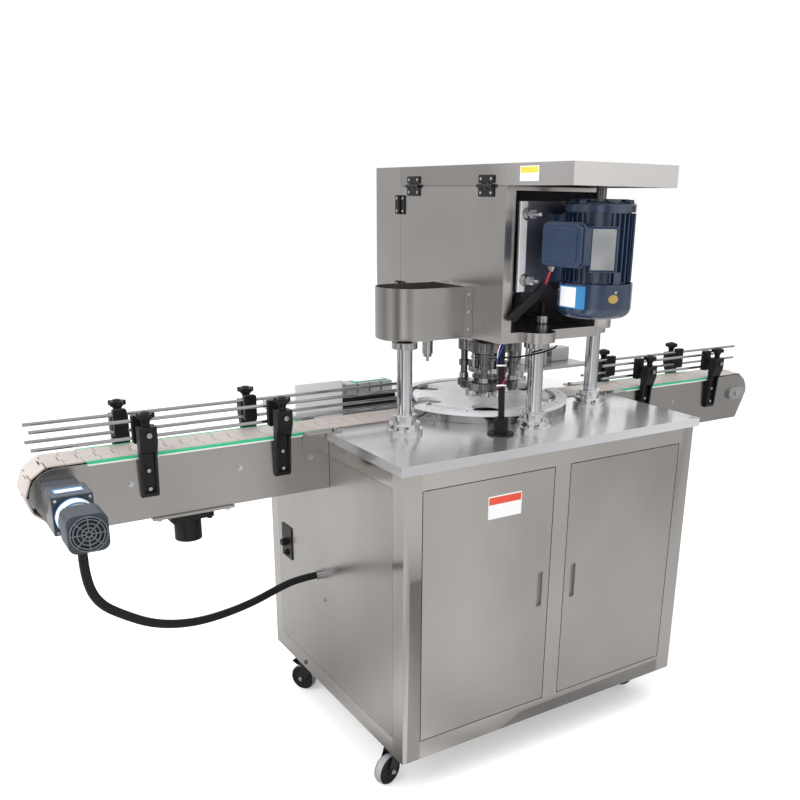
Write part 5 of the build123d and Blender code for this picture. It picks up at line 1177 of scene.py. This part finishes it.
# Motor plate: pale edge strip, a painted highlight, long studs with nuts; rod with its collar on the base
# plate
ROD_X, ROD_Y = 92, -150
STUD = ((0, 0), (5, 0), (5, 50), (4, 52), (0, 52))
plate_parts = [
    # Pale strip on the plate's face by its left edge: painted highlight
    (block((-80, -264.6, 1184), (-61.5, -262, 1384)), HERE, painted_highlight_edge),
    (ring(6, 17.8, 1092, 1108), moved(ROD_X, ROD_Y, 0), zinc),
    (cylinder(9, 1106, 1142, 20), moved(ROD_X, ROD_Y, 0), black_metal),
]
for z in (1211, 1357):
    stud = frame_at((STUD_X[0], -262, z), NEAR)
    plate_parts.append((lathe(STUD, 20), stud, bright))
    plate_parts.append((cylinder(14, 2.8, 5, 28), stud, zinc))
    for nut_z in (5.0, 22.0):
        plate_parts.append((prism(hexagon(10.5), 9.0, nut_z), stud, zinc))
build("motor_plate_trim", "machine", plate_parts)
build("lid_seam", "lid", [(block((-113.4, -251.2, 1414), (-112.8, -249.4, 1461)), HERE, table_steel)])

# Columns: shaft, stepped foot and top flange, from the table's top up
TABLE_Z = 846
FOOT_R, FOOT_SCREW_Z = 37.9, 863.0
FLANGE = ((0, 203), (30.4, 203), (31, 203.8), (31, 217), (0, 217))
FOOT = (
    (0, 0), (45, 0), (45, 9.2), (44.2, 10), (38.5, 10), (38.5, 23), (37.5, 24), (28.5, 24),
    (28.5, 39), (30.2, 40), (30.2, 43.2), (29.4, 44), (0, 44),
)
column_parts = []
for x, y in COLUMNS:
    at = moved(x, y, TABLE_Z)
    column_parts.append((cylinder(19, 0, 217, 48), at, polished))
    column_parts.append((lathe(FOOT, 64), at, foot_steel))
    column_parts.append((lathe(FLANGE, 48), at, bright))
build("columns_finer", "machine", column_parts, 0.0, "columns")

# Plates on the row of air valves
feeder_plates = [
    (block((-268, 196, 907.8), (-165, 222, 909.2)), HERE, strip_green),
    (block((-262, 199, 909.0), (-170, 219, 910)), HERE, plate_white),
]
build("feeder_plates", "machine", feeder_plates)

# Set screws in the columns' feet
foot_screws = []
for x, y in COLUMNS:
    for angle in (-170, -110, 10, 130):
        foot_screws.append(facing_out(x, y, FOOT_R, angle, FOOT_SCREW_Z))
set_out("foot_screws", cap_screw, foot_screws, machine_steel, "machine", 0.6)

# White ties round the wires and the conduit
ties = []
for share in (0.47, 0.72):
    j = int(share * (len(conduit_line) - 1))
    tie_at = frame_at(conduit_line[j] / MM, conduit_line[j + 1] - conduit_line[j])
    ties.append((ring(9.0, 12.2, -1.6, 1.6, 24), tie_at, tie_white))
build("wire_ties", "machine", ties)

# Curved guard: joint strip with screws beside the box and a strap with bolts on top
joint_strip = block((-136, -133, 1068), (-113.3, -131, 1184))
top_strap = block((-135, -131, 1186), (-113.5, 19, 1188))
strip = joined((joint_strip, top_strap), "guard joint strip")
add("guard_joint_strip", bevelled(strip, 0.0004), "machine", stainless)
guard_screws = [frame_at((-125, -133, z), NEAR) for z in (1084, 1126, 1168)]
guard_screws += [frame_at((-124, y, 1188), UP) for y in (-110, -56, 0)]
set_out("guard_screws", pan_screw, guard_screws, zinc, "machine")

# Blank plates where the machine carries its labels
door_plate = [
    (block((-222, -370.4, 681), (-125, -369.9, 737)), HERE, plate_white),
    (block((-220, -370.6, 716), (-127, -370.3, 734)), HERE, plate_orange),
]
build("door_plate", "left_door", door_plate)
hood_plate = [
    (block((-113.4, -361, 1426), (-112.9, -297, 1457)), HERE, plate_white),
    (block((-113.6, -359, 1443), (-113.3, -299, 1455)), HERE, plate_yellow),
]
build("hood_plate", "lid", hood_plate)

# Stage: a pale floor, and bands of tone that metal sees, at shares of a turn
stage_floor = bpy.data.meshes.new("floor")
stage_floor.from_pydata([(-14, -14, 0), (14, -14, 0), (14, 14, 0), (-14, 14, 0)], [], [(0, 1, 2, 3)])
floor = in_scene("floor", stage_floor)
FLOOR_GREY = (0.86, 0.86, 0.86)
BANDS_AT = (0.0, 0.08, 0.13, 0.19, 0.25, 0.34, 0.42, 0.50, 0.60, 0.72, 0.84, 0.93, 1.0)
FLOOR_BANDS = (0.70, 0.14, 0.90, 0.50, 0.62, 0.50, 0.50, 0.26, 0.95, 0.70, 0.60, 0.38, 0.70)
HORIZON_BANDS = (0.62, 0.12, 1.0, 0.06, 0.80, 1.0, 0.60, 0.08, 0.98, 0.80, 0.50, 0.30, 0.62)


def flag_bands(nodes, links, vector, levels):
    """Soft bands round the upright axis, as flags beside a studio table give, and the height."""
    sides = split_up(nodes, links, vector)
    angle = maths(nodes, links, "ARCTAN2", sides["Y"], sides["X"])
    part = maths(nodes, links, "MULTIPLY_ADD", angle, 0.5 / pi, 0.5)
    ramp = nodes.new("ShaderNodeValToRGB")
    ramp.color_ramp.interpolation = "EASE"
    stops = ramp.color_ramp.elements
    for at, level in zip(BANDS_AT, levels):
        stop = stops[0] if at == 0.0 else stops[-1] if at == 1.0 else stops.new(at)
        stop.color = (level, level, level, 1.0)
    links.new(part, ramp.inputs["Fac"])
    return ramp.outputs["Color"], sides["Z"]


def floor_material():
    """Pale floor, near white to the camera with the shadow kept; metal sees it in soft bands."""
    m, nodes, links, shader = new_material("pale floor")
    shader.inputs["Roughness"].default_value = 0.9
    shader.inputs["Specular IOR Level"].default_value = 0.0
    place = nodes.new("ShaderNodeTexCoord")
    bands, _ = flag_bands(nodes, links, place.outputs["Object"], FLOOR_BANDS)
    path = nodes.new("ShaderNodeLightPath")
    tone = tint(nodes, links, path.outputs["Is Glossy Ray"], FLOOR_GREY, bands)
    links.new(tone, shader.inputs["Base Color"])
    glow = maths(nodes, links, "MULTIPLY", path.outputs["Is Camera Ray"], 0.30)
    shader.inputs["Emission Color"].default_value = (1, 1, 1, 1)
    links.new(glow, shader.inputs["Emission Strength"])
    return m


stage_floor.materials.append(floor_material())

# World: white behind the object; metal sees bright upper air and soft bands near the horizon
world = bpy.data.worlds.new("studio")
scene.world = world
world.use_nodes = True
wn, wl = world.node_tree.nodes, world.node_tree.links
background = wn["Background"]
where = wn.new("ShaderNodeTexCoord")
bands, height = flag_bands(wn, wl, where.outputs["Generated"], HORIZON_BANDS)
rise = spread(wn, wl, height, 0.0, 1.0, 0.02, 0.30)
air = tint(wn, wl, rise, bands, (0.98, 0.985, 1.0))
seen = wn.new("ShaderNodeLightPath")
backdrop = tint(wn, wl, seen.outputs["Is Camera Ray"], air, (1.0, 1.0, 1.0))
wl.new(backdrop, background.inputs["Color"])
background.inputs["Strength"].default_value = 1.0


def area_light(name, place, aim, size, power):
    """Soft lamp that metal doesn't mirror."""
    data = bpy.data.lights.new(name, "AREA")
    data.shape = "RECTANGLE"
    data.size, data.size_y = size
    data.energy = power
    o = in_scene(name, data)
    o.visible_glossy = False
    way = Vector(place) - Vector(aim)
    o.matrix_world = Matrix.Translation(place) @ way.to_track_quat("Z", "Y").to_matrix().to_4x4()


area_light("key", (-3.4, -1.6, 3.4), (0, 0, 0.9), (2.4, 2.0), 75)
area_light("side", (-4.2, 1.0, 2.0), (0, 0, 0.9), (2.2, 2.6), 60)
area_light("top", (0.3, 0.2, 4.2), (0, 0, 0.9), (3.4, 2.6), 60)
area_light("fill", (2.4, -4.4, 2.2), (0, 0, 0.8), (2.4, 1.6), 22)
